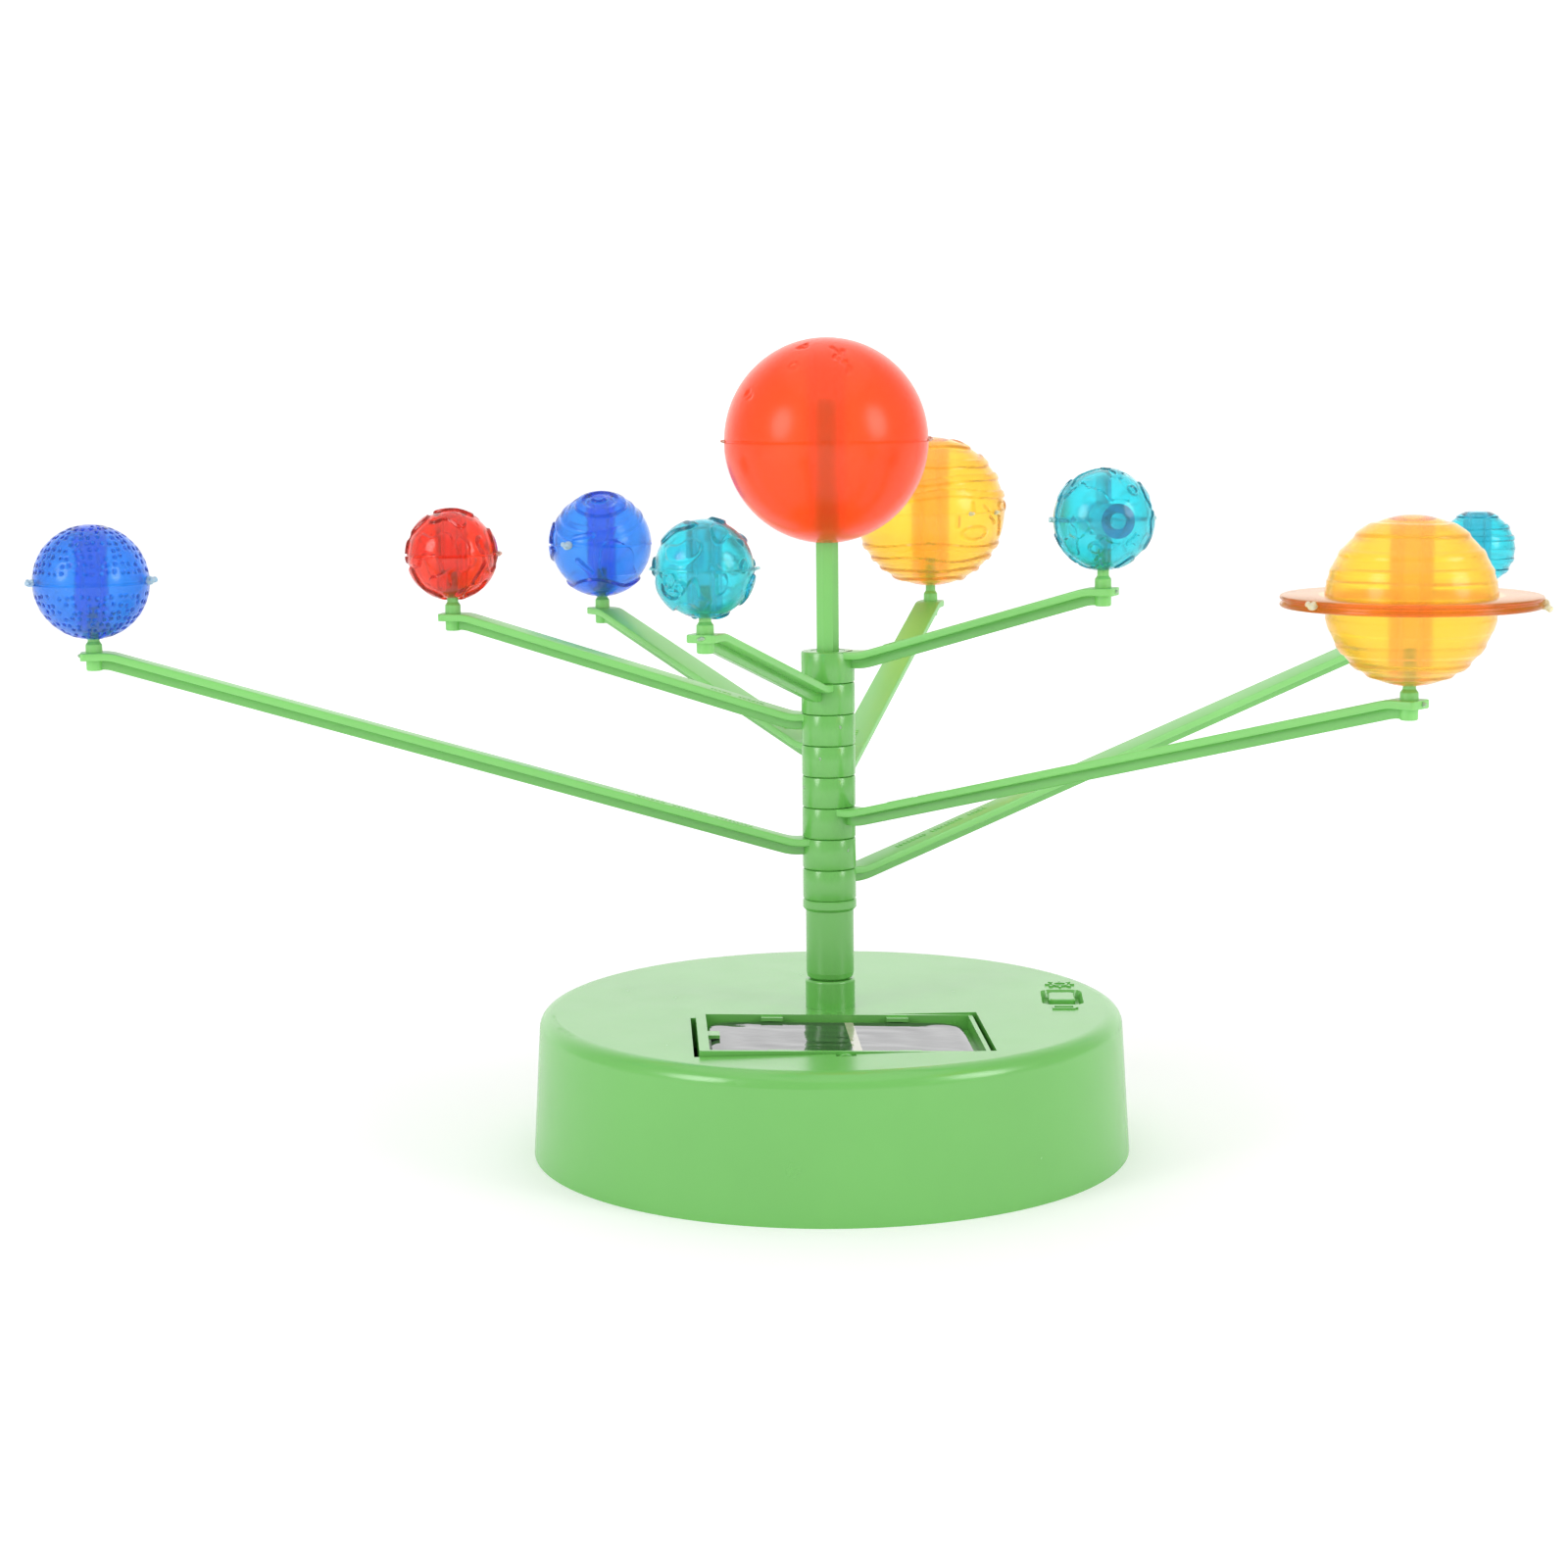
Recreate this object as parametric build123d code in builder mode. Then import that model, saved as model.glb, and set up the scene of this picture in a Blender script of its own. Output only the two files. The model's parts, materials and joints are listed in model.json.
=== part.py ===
"""Tabletop orrery: a round base with a motor inside turns a central column.

Eight arms clip round the column one above another, and each carries a hollow
planet on a peg. The sun sits on a post at the top. A small tilting solar panel
in the base, or one AA cell, drives the motor. Millimetres, +Z up, origin at
the middle of the underside, +X along the solar panel, -Y towards its front.
"""

from build123d import *
import os
from math import acos, atan2, cos, hypot, pi, radians, sin, tan

# ---- base housing
base_bottom_radius = 70.0
base_top_radius = 68.0
base_height = 33.3
base_edge_round = 3.6
wall = 2.0
top_plate = 2.2
collar_radius = 5.8
collar_height = 40.0
collar_edge_round = 0.5
bearing_bottom = 22.1

# ---- rotating column
journal_radius = 3.5
running_clearance = 0.05
sleeve_radius = 5.58
sleeve_bottom = 40.1
flange_radius = 6.25
flange_bottom = 56.7
flange_top = 59.0
core_radius = 4.0
hub_radius = 6.19
hub_pitch = 7.26
hub_gap = 0.06
hub_count = 8
stack_top = flange_top + hub_pitch * hub_count
post_width = 5.0
socket_depth = 16.0
spindle_bottom = 15.6
clip_level = 19.1
clip_radius = 5.6
clip_mouth = 4.0
clip_thickness = 0.8
groove_radius = 2.9

# ---- sun
sun_radius = 23.5
sun_height = 165.2
sun_wall = 1.5
sun_tube_radius = 3.4
post_into_sun = 10.0

# ---- arms
arm_width = 6.6
arm_plate = 1.7
rib_width = 1.5
rib_depth = 2.2
level_run = 8.5
end_run = 3.6
pad_overhang = 2.95
boss_radius = 1.85
boss_height = 2.6
boss_drop = 2.35
boss_chamfer = 0.5
hub_chamfer = 0.35
pad_corner = 0.9
peg_radius = 1.3
peg_depth = 6.0

# ---- planets, one row each from the top arm down:
# reach of the peg, heading in degrees from +X, height of the arm's pad, height
# of the planet's centre, planet radius, heading of its two sprue stubs
planets = [
    (66.0, -26.0, 132.9, 148.0, 11.2, 8.0),
    (72.4, -114.4, 127.2, 140.7, 10.6, -8.0),
    (90.0, 166.0, 125.1, 139.0, 10.7, 12.0),
    (100.5, 121.6, 120.9, 137.3, 13.3, -60.0),
    (119.2, 72.7, 119.2, 143.2, 20.1, -35.0),
    (152.0, -45.0, 116.0, 135.5, 17.0, 3.0),
    (165.5, -174.0, 120.7, 136.3, 12.8, 0.0),
    (202.3, 27.8, 120.3, 132.6, 10.2, 20.0),
]
shell_wall = 1.2
upright_peg_depth = 3.5
socket_radius = 3.0
stub_length = 1.3
stub_width = 1.6
stub_thickness = 0.9
ring_planet = 6
ring_radius = 25.5
ring_thickness = 2.4
upright_planet = 1
upright_seam_heading = -82.0
cross_tube_radius = 3.1

# ---- solar panel in its tilting frame
opening_length = 66.3
opening_depth = 39.0
opening_y = -30.0
skirt_wall = 1.2
skirt_bottom = 26.0
frame_end_gap = 1.1
frame_side_gap = 0.5
frame_wall = 1.0
frame_rise = 2.4
frame_drop = 2.6
frame_floor = 1.6
panel_length = 58.0
panel_depth = 33.0
panel_corner = 5.0
panel_recess = 1.2
tilt_axis_height = 31.3
tilt_at_rest = 1.5
trunnion_radius = 2.15
trunnion_length = 2.0
clip_spots = [(x, y) for x in (-14.5, 14.5) for y in (-17.2, 17.2)]
clip_size = (5.0, 2.6)
end_tongue = (3.4, 4.5)
clip_rise = 0.8

# ---- slide switch
switch_x = 55.3
switch_y = 3.9
switch_heading = -6.0
pocket_width = 8.2
pocket_length = 15.0
pocket_corner = 1.6
pocket_depth = 1.8
pocket_floor = 1.4
pocket_draft = -24.0
stem_slot_width = 2.6
stem_slot_length = 9.0
stem_width = 1.8
stem_length = 3.6
knob_width = 6.2
knob_length = 8.4
knob_offset = 1.8
sign_rise = 0.35
sun_sign_y = 13.6
cell_sign_y = -12.2

# ---- gear train, vertical axles, three equal stages
gear_module = 0.5
pinion_teeth = 12
wheel_teeth = 48
pressure_angle = radians(20)
backlash = 0.14
centre_distance = gear_module * (pinion_teeth + wheel_teeth) / 2
wheel_thickness = 2.5
axle_radius = 1.0
output_level = 16.2
second_level = 10.8
first_level = 5.4
plate_thickness = 1.4
upper_plate_level = 20.5
gearbox_left = -19.0
gearbox_right = 45.0
gearbox_front = -9.0
gearbox_back = 28.0
gearbox_corner = 2.5
post_inset = 3.0
post_radius = 2.0
second_axle = (centre_distance * cos(radians(60)), centre_distance * sin(radians(60)))
first_axle = (second_axle[0] + centre_distance, second_axle[1])
motor_axle = (
    first_axle[0] + centre_distance * cos(radians(-60)),
    first_axle[1] + centre_distance * sin(radians(-60)),
)
motor_radius = 10.0
motor_flats = 15.4
motor_bottom = 9.5
motor_boss_radius = 3.0
motor_boss_height = 0.6
motor_shaft_radius = 1.0
motor_shaft_bottom = 4.4
motor_shaft_inside = 6.0

# ---- bottom cover, battery
cover_thickness = 2.2
screw_circle = 60.0
screw_headings = (30.0, 150.0, 222.0, 318.0)
screw_radius = 1.5
screw_length = 10.0
screw_head_radius = 2.8
screw_head_height = 0.9
screw_post_radius = 3.6
cell_radius = 7.25
cell_length = 50.5
cell_y = 40.0
cell_height = 10.0
door_length = 58.0
door_depth = 18.0
door_gap = 0.3
door_lip = 1.5
door_seat = 1.2
cell_button_radius = 2.75
cell_button_length = 1.3
cradle_wall = 1.5
cradle_depth = 16.0
cradle_height = 13.0
contact_thickness = 0.4
contact_width = 8.0
contact_height = 9.0

os.makedirs("parts", exist_ok=True)


def save(builder, name):
    """Labels a finished piece and writes its file."""
    builder.part.label = name
    export_step(builder.part, f"parts/{name}.step")


def on_circle(radius, heading, height=0.0):
    """A point at a radius and a heading in degrees round the column."""
    return (radius * cos(radians(heading)), radius * sin(radians(heading)), height)


def radial_plane(heading):
    """The upright plane through the column: its x runs outward, its y is up."""
    h = radians(heading)
    return Plane(origin=(0, 0, 0), x_dir=(cos(h), sin(h), 0), z_dir=(sin(h), -cos(h), 0))


def gear_outline(teeth, first_tooth):
    """Corner points of a stub-tooth involute gear with one tooth at a heading."""
    pitch = gear_module * teeth / 2
    base = pitch * cos(pressure_angle)
    root = pitch - 1.1 * gear_module
    tip = pitch + 0.75 * gear_module
    half_at_pitch = (pi * gear_module / 2 - backlash) / (2 * pitch)
    involute_at_pitch = tan(pressure_angle) - pressure_angle

    def half_angle(radius):
        roll = acos(min(1.0, base / radius))
        return half_at_pitch + involute_at_pitch - (tan(roll) - roll)

    start = max(base, root)
    flank = [(root, half_angle(start))] if base > root else []
    flank += [(r, half_angle(r)) for r in (start, pitch, tip)]
    points = []
    for tooth in range(teeth):
        middle = radians(first_tooth) + 2 * pi * tooth / teeth
        for radius, half in flank:
            points.append((radius * cos(middle - half), radius * sin(middle - half)))
        for radius, half in reversed(flank):
            points.append((radius * cos(middle + half), radius * sin(middle + half)))
    return points


def toothed_disc(teeth, first_tooth, centre, level, thickness):
    """Extrudes one toothed disc into the part being built."""
    with BuildSketch(Plane(origin=(*centre, level))) as disc:
        with BuildLine():
            Polyline(*gear_outline(teeth, first_tooth), close=True)
        make_face()
    extrude(disc.sketch, amount=thickness)


# ---------------------------------------------------------------- base housing
base_inner_bottom = base_bottom_radius - wall
base_inner_top = base_top_radius - wall
plate_underside = base_height - top_plate
switch_plane = Plane(
    origin=(switch_x, switch_y, base_height),
    x_dir=on_circle(1, switch_heading),
    z_dir=(0, 0, 1),
)
seat_depth = trunnion_length + 0.4
seat_half_width = 3.8
seat_bottom = tilt_axis_height - trunnion_radius - 1.8
slot_radius = trunnion_radius + running_clearance

with BuildPart() as base_housing:
    with BuildSketch(Plane.XZ):
        with BuildLine():
            Polyline(
                (journal_radius + running_clearance, bearing_bottom),
                (collar_radius, bearing_bottom),
                (collar_radius, plate_underside),
                (base_inner_top, plate_underside),
                (base_inner_bottom, 0),
                (base_bottom_radius, 0),
                (base_top_radius, base_height),
                (collar_radius, base_height),
                (collar_radius, collar_height),
                (journal_radius + running_clearance, collar_height),
                close=True,
            )
        make_face()
    revolve(axis=Axis.Z)
    rims = base_housing.edges().filter_by(GeomType.CIRCLE)
    top_rims = rims.filter_by(lambda e: abs(e.center().Z - base_height) < 0.01)
    fillet(top_rims.sort_by(SortBy.RADIUS)[-1], base_edge_round)
    rims = base_housing.edges().filter_by(GeomType.CIRCLE)
    collar_rims = rims.filter_by(lambda e: abs(e.center().Z - collar_height) < 0.01)
    fillet(collar_rims.sort_by(SortBy.RADIUS)[-1], collar_edge_round)

    # skirt and trunnion seats under the plate, then the opening and the slots
    with BuildSketch(Plane.XY.offset(skirt_bottom)):
        with Locations((0, opening_y)):
            Rectangle(opening_length + 2 * skirt_wall, opening_depth + 2 * skirt_wall)
    extrude(amount=plate_underside - skirt_bottom)
    with BuildSketch(Plane.XY.offset(seat_bottom)):
        with Locations((0, opening_y)):
            Rectangle(2 * seat_half_width, opening_depth + 2 * seat_depth)
    extrude(amount=plate_underside - seat_bottom)
    with BuildSketch(Plane.XY.offset(skirt_bottom - 1)):
        with Locations((0, opening_y)):
            Rectangle(opening_length, opening_depth)
    extrude(amount=base_height, mode=Mode.SUBTRACT)
    slot_length = opening_depth + 2 * trunnion_length + 0.2
    with BuildSketch(Plane.XZ.offset(-(opening_y + slot_length / 2))):
        with Locations((0, tilt_axis_height)):
            Circle(slot_radius)
        with Locations((0, tilt_axis_height + 2)):
            Rectangle(2 * slot_radius, 4)
    extrude(amount=slot_length, mode=Mode.SUBTRACT)

    # switch pocket with sloping sides and a slot for the knob's stem
    with BuildSketch(switch_plane.offset(-pocket_depth - pocket_floor)):
        RectangleRounded(pocket_width + 5, pocket_length + 5, 2.5)
    extrude(amount=pocket_depth + pocket_floor - top_plate / 2)
    with BuildSketch(switch_plane.offset(-pocket_depth)):
        RectangleRounded(pocket_width, pocket_length, pocket_corner)
    extrude(amount=pocket_depth + 0.2, taper=pocket_draft, mode=Mode.SUBTRACT)
    with BuildSketch(switch_plane.offset(-pocket_depth - pocket_floor - 0.1)):
        Rectangle(stem_slot_width, stem_slot_length)
    extrude(amount=pocket_floor + 0.2, mode=Mode.SUBTRACT)

    # raised signs beside the switch: a sun and a battery cell
    with BuildSketch(switch_plane):
        with Locations((0, sun_sign_y)):
            Circle(1.9)
            Circle(1.35, mode=Mode.SUBTRACT)
            with PolarLocations(3.0, 8):
                Rectangle(1.1, 0.5)
    extrude(amount=sign_rise)
    with BuildSketch(switch_plane):
        with Locations((0, cell_sign_y)):
            Rectangle(5.4, 2.8)
            Rectangle(4.4, 1.8, mode=Mode.SUBTRACT)
        with Locations((3.0, cell_sign_y)):
            Rectangle(0.7, 1.3)
    extrude(amount=sign_rise)

    # posts for the cover screws
    with BuildSketch(Plane.XY.offset(cover_thickness)):
        with Locations(*[on_circle(screw_circle, h)[:2] for h in screw_headings]):
            Circle(screw_post_radius)
    extrude(amount=plate_underside - cover_thickness)
    with BuildSketch(Plane.XY.offset(cover_thickness)):
        with Locations(*[on_circle(screw_circle, h)[:2] for h in screw_headings]):
            Circle(screw_radius + 0.02)
    extrude(amount=screw_length + 2, mode=Mode.SUBTRACT)
save(base_housing, "base_housing")

# ---------------------------------------------------------------- bottom cover
up = (Align.CENTER, Align.CENTER, Align.MIN)
cradle_x = cell_length / 2 + 1.0

with BuildPart() as bottom_cover:
    Cylinder(base_inner_bottom - 0.3, cover_thickness, align=up)
    with Locations(*[(s * (cradle_x + cradle_wall / 2), cell_y, cover_thickness) for s in (-1, 1)]):
        Box(cradle_wall, cradle_depth, cradle_height, align=up)
    with Locations((0, cell_y, 0)):
        Box(
            door_length - 2 * door_lip,
            door_depth - 2 * door_lip,
            cover_thickness,
            align=up,
            mode=Mode.SUBTRACT,
        )
        Box(
            door_length + 2 * door_gap,
            door_depth + 2 * door_gap,
            door_seat + 0.05,
            align=up,
            mode=Mode.SUBTRACT,
        )
    with Locations(*[on_circle(screw_circle, h) for h in screw_headings]):
        Cylinder(screw_radius + 0.2, cover_thickness, align=up, mode=Mode.SUBTRACT)
        Cylinder(screw_head_radius + 0.3, 1.2, align=up, mode=Mode.SUBTRACT)
save(bottom_cover, "bottom_cover")

with BuildPart() as cover_screws:
    with Locations(*[on_circle(screw_circle, h, 0.3) for h in screw_headings]):
        Cylinder(screw_head_radius, screw_head_height, align=up)
        Cylinder(screw_radius, screw_length, align=up)
        Box(3.6, 0.7, 0.5, align=up, mode=Mode.SUBTRACT)
        Box(0.7, 3.6, 0.5, align=up, mode=Mode.SUBTRACT)
save(cover_screws, "cover_screws")

with BuildPart() as battery_door:
    with Locations((0, cell_y, 0)):
        Box(door_length, door_depth, door_seat, align=up)
        with Locations((0, -door_depth / 2 + 3, 0)):
            with GridLocations(0, 1.4, 1, 3):
                Box(12, 0.7, 0.5, align=up, mode=Mode.SUBTRACT)
save(battery_door, "battery_door")

along_x = Plane(origin=(-cell_length / 2, cell_y, cell_height), z_dir=(1, 0, 0))
with BuildPart() as battery_cell:
    with BuildSketch(along_x):
        Circle(cell_radius)
    extrude(amount=cell_length - cell_button_length)
    with BuildSketch(along_x.offset(cell_length - cell_button_length)):
        Circle(cell_button_radius)
    extrude(amount=cell_button_length)
save(battery_cell, "battery_cell")

with BuildPart() as battery_contacts:
    for side in (-1, 1):
        with Locations((side * (cell_length + contact_thickness) / 2, cell_y, cell_height)):
            Box(contact_thickness, contact_width, contact_height)
        with Locations((side * (cell_length / 2 + 0.5), cell_y, cell_height + contact_height / 2 - 0.2)):
            Box(1.0, contact_width, contact_thickness)
save(battery_contacts, "battery_contacts")

# ---------------------------------------------------------------- gearbox
gearbox_size = (gearbox_right - gearbox_left, gearbox_back - gearbox_front)
gearbox_middle = ((gearbox_left + gearbox_right) / 2, (gearbox_front + gearbox_back) / 2)
axle_hole = axle_radius + 0.02
axle_spots = [second_axle, first_axle]
post_spots = [
    (x, y)
    for x in (gearbox_left + post_inset, gearbox_right - post_inset)
    for y in (gearbox_front + post_inset, gearbox_back - post_inset)
]

with BuildPart() as gearbox_lower_plate:
    with BuildSketch(Plane.XY.offset(cover_thickness)):
        with Locations(gearbox_middle):
            RectangleRounded(*gearbox_size, gearbox_corner)
        with Locations(*axle_spots):
            Circle(axle_hole, mode=Mode.SUBTRACT)
    extrude(amount=plate_thickness)
    with BuildSketch(Plane.XY.offset(cover_thickness + plate_thickness)):
        with Locations(*post_spots):
            Circle(post_radius)
    extrude(amount=upper_plate_level - cover_thickness - plate_thickness)
save(gearbox_lower_plate, "gearbox_lower_plate")

with BuildPart() as gearbox_upper_plate:
    with BuildSketch(Plane.XY.offset(upper_plate_level)):
        with Locations(gearbox_middle):
            RectangleRounded(*gearbox_size, gearbox_corner)
        with Locations(*axle_spots):
            Circle(axle_hole, mode=Mode.SUBTRACT)
        Circle(journal_radius + 0.5, mode=Mode.SUBTRACT)
    extrude(amount=plate_thickness)
save(gearbox_upper_plate, "gearbox_upper_plate")

with BuildPart() as gear_axles:
    with BuildSketch(Plane.XY.offset(cover_thickness + 0.1)):
        with Locations(*axle_spots):
            Circle(axle_radius)
    extrude(amount=upper_plate_level + plate_thickness - cover_thickness - 0.2)
save(gear_axles, "gear_axles")

with BuildPart() as motor_can:
    with BuildSketch(Plane.XY.offset(motor_bottom)):
        with Locations(motor_axle[:2]):
            Circle(motor_radius)
            Rectangle(2 * motor_radius + 2, motor_flats, mode=Mode.INTERSECT)
    extrude(amount=upper_plate_level - motor_bottom)
    with BuildSketch(Plane.XY.offset(motor_bottom - motor_boss_height)):
        with Locations(motor_axle[:2]):
            Circle(motor_boss_radius)
    extrude(amount=motor_boss_height)
    with BuildSketch(Plane.XY.offset(motor_bottom - 1)):
        with Locations(motor_axle[:2]):
            Circle(motor_shaft_radius + running_clearance)
    extrude(amount=motor_shaft_inside + 3, mode=Mode.SUBTRACT)
save(motor_can, "motor_can")

with BuildPart() as motor_shaft:
    with BuildSketch(Plane.XY.offset(motor_shaft_bottom)):
        with Locations(motor_axle[:2]):
            Circle(motor_shaft_radius)
    extrude(amount=motor_bottom + motor_shaft_inside - motor_shaft_bottom)
save(motor_shaft, "motor_shaft")

# each pinion has a gap facing the wheel that it meshes with
half_pitch = 180 / pinion_teeth
with BuildPart() as motor_pinion:
    toothed_disc(pinion_teeth, 120 + half_pitch, motor_axle, first_level - 0.4, 3.3)
    with Locations((*motor_axle, first_level - 1)):
        Cylinder(motor_shaft_radius, 6, align=up, mode=Mode.SUBTRACT)
save(motor_pinion, "motor_pinion")

with BuildPart() as reduction_gear_1:
    toothed_disc(wheel_teeth, -60, first_axle, first_level, wheel_thickness)
    pinion_level = first_level + wheel_thickness
    toothed_disc(pinion_teeth, 180 + half_pitch, first_axle, pinion_level, 5.8)
    with Locations((*first_axle, first_level - 1)):
        Cylinder(axle_radius + running_clearance, 12, align=up, mode=Mode.SUBTRACT)
save(reduction_gear_1, "reduction_gear_1")

with BuildPart() as reduction_gear_2:
    toothed_disc(wheel_teeth, 0, second_axle, second_level, wheel_thickness)
    pinion_level = second_level + wheel_thickness
    toothed_disc(pinion_teeth, 240 + half_pitch, second_axle, pinion_level, 5.8)
    with Locations((*second_axle, second_level - 1)):
        Cylinder(axle_radius + running_clearance, 12, align=up, mode=Mode.SUBTRACT)
save(reduction_gear_2, "reduction_gear_2")

with BuildPart() as output_gear:
    toothed_disc(wheel_teeth, 60, (0, 0), output_level, wheel_thickness)
    with Locations((0, 0, output_level - 1)):
        Cylinder(journal_radius, 6, align=up, mode=Mode.SUBTRACT)
save(output_gear, "output_gear")

with BuildPart() as retaining_clip:
    with BuildSketch(Plane.XY.offset(clip_level)):
        Circle(clip_radius)
        Circle(groove_radius, mode=Mode.SUBTRACT)
        with Locations((0, -clip_radius)):
            Rectangle(clip_mouth, 2 * clip_radius, mode=Mode.SUBTRACT)
    extrude(amount=clip_thickness)
save(retaining_clip, "retaining_clip")

# ---------------------------------------------------------------- spindle
with BuildPart() as spindle:
    with BuildSketch(Plane.XZ):
        with BuildLine():
            Polyline(
                (0, spindle_bottom),
                (journal_radius - 0.4, spindle_bottom),
                (journal_radius, spindle_bottom + 0.4),
                (journal_radius, clip_level),
                (groove_radius, clip_level),
                (groove_radius, clip_level + clip_thickness),
                (journal_radius, clip_level + clip_thickness),
                (journal_radius, sleeve_bottom),
                (sleeve_radius - 0.9, sleeve_bottom),
                (sleeve_radius - 0.25, sleeve_bottom + 0.5),
                (sleeve_radius, sleeve_bottom + 1.6),
                (sleeve_radius, flange_bottom - 0.3),
                (flange_radius - 0.3, flange_bottom),
                (flange_radius, flange_bottom + 0.4),
                (flange_radius, flange_top - 0.3),
                (flange_radius - 0.3, flange_top),
                (core_radius, flange_top),
                (core_radius, stack_top - 0.1),
                (0, stack_top - 0.1),
                close=True,
            )
        make_face()
    revolve(axis=Axis.Z)
    with BuildSketch(Plane.XY.offset(stack_top - socket_depth)):
        RegularPolygon(post_width / 2 + 0.02, 8, major_radius=False, rotation=22.5)
    extrude(amount=socket_depth, mode=Mode.SUBTRACT)
save(spindle, "spindle")

post_top = sun_height + post_into_sun
with BuildPart() as sun_post:
    with BuildSketch(Plane.XY.offset(stack_top - socket_depth)):
        RegularPolygon(post_width / 2, 8, major_radius=False, rotation=22.5)
    extrude(amount=post_top - stack_top + socket_depth)
    chamfer(sun_post.faces().sort_by(Axis.Z)[-1].edges(), 0.4)
save(sun_post, "sun_post")


def hollow_ball(radius, thickness, stub_heading, tube_radius, bore_radius, bore_top):
    """A hollow ball at the origin with a tube up its middle and two sprue stubs."""
    with BuildPart() as ball:
        Sphere(radius)
        with Locations(Rotation(0, 0, stub_heading)):
            Box(2 * (radius + stub_length), stub_width, stub_thickness)
        Sphere(radius - thickness, mode=Mode.SUBTRACT)
        Cylinder(tube_radius, 2 * (radius - 0.5))
        with Locations((0, 0, -radius - 1)):
            Cylinder(bore_radius, bore_top + radius + 1, align=up, mode=Mode.SUBTRACT)
    return ball.part


def halves(ball, centre, seam_normal, first_name, second_name):
    """Cuts a ball at its seam; the first half is the one the normal points to."""
    placed = Pos(*centre) * ball
    seam = Plane(origin=centre, z_dir=seam_normal)
    for name, keep in ((first_name, Keep.TOP), (second_name, Keep.BOTTOM)):
        with BuildPart() as half:
            add(placed)
            split(bisect_by=seam, keep=keep)
        save(half, name)


# ---------------------------------------------------------------- sun
sun_ball = hollow_ball(sun_radius, sun_wall, 0, sun_tube_radius, post_width / 2 + 0.22, post_into_sun + 1)
halves(sun_ball, (0, 0, sun_height), (0, 0, 1), "sun_upper_shell", "sun_lower_shell")


# ---------------------------------------------------------------- arms
def arm(number, reach, heading, pad_height, peg_top, boss_top):
    """One arm: hub ring, sloping T-section, end pad, boss and peg."""
    ring_bottom = flange_top + hub_pitch * (hub_count - number) + hub_gap / 2
    ring_top = ring_bottom + hub_pitch - hub_gap
    side = radial_plane(heading)
    bend_in, bend_out = level_run, reach - end_run
    slope = (pad_height - ring_top) / (bend_out - bend_in)
    shift = tan(atan2(slope, 1) / 2)
    start = core_radius + 1.0
    tip = reach + pad_overhang
    deep = arm_plate + rib_depth
    with BuildPart() as piece:
        with BuildSketch(Plane.XZ):
            with BuildLine():
                Polyline(
                    (core_radius + running_clearance, ring_bottom),
                    (hub_radius - hub_chamfer, ring_bottom),
                    (hub_radius, ring_bottom + hub_chamfer),
                    (hub_radius, ring_top - hub_chamfer),
                    (hub_radius - hub_chamfer, ring_top),
                    (core_radius + running_clearance, ring_top),
                    close=True,
                )
            make_face()
        revolve(axis=Axis.Z)
        for half_width, depth, end in (
            (arm_width / 2, arm_plate, tip),
            (rib_width / 2, deep, reach),
        ):
            with BuildSketch(side):
                with BuildLine():
                    Polyline(
                        (start, ring_top),
                        (bend_in, ring_top),
                        (bend_out, pad_height),
                        (end, pad_height),
                        (end, pad_height - depth),
                        (bend_out + depth * shift, pad_height - depth),
                        (bend_in + depth * shift, ring_top - depth),
                        (start, ring_top - depth),
                        close=True,
                    )
                make_face()
            extrude(amount=half_width, both=True)
        corners = piece.edges().filter_by(Axis.Z).group_by(
            lambda e: round(hypot(e.center().X, e.center().Y), 2)
        )[-1]
        fillet(corners, pad_corner)
        with BuildSketch(Plane(origin=on_circle(reach, heading, pad_height - arm_plate - boss_drop))):
            Circle(boss_radius)
        extrude(amount=boss_top - pad_height + arm_plate + boss_drop)
        chamfer(piece.faces().sort_by(Axis.Z)[-1].edges(), boss_chamfer)
        with BuildSketch(Plane(origin=on_circle(reach, heading, pad_height))):
            Circle(peg_radius)
        extrude(amount=peg_top - pad_height)
        chamfer(piece.faces().sort_by(Axis.Z)[-1].edges(), 0.3)
    save(piece, f"arm_{number}")


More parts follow.
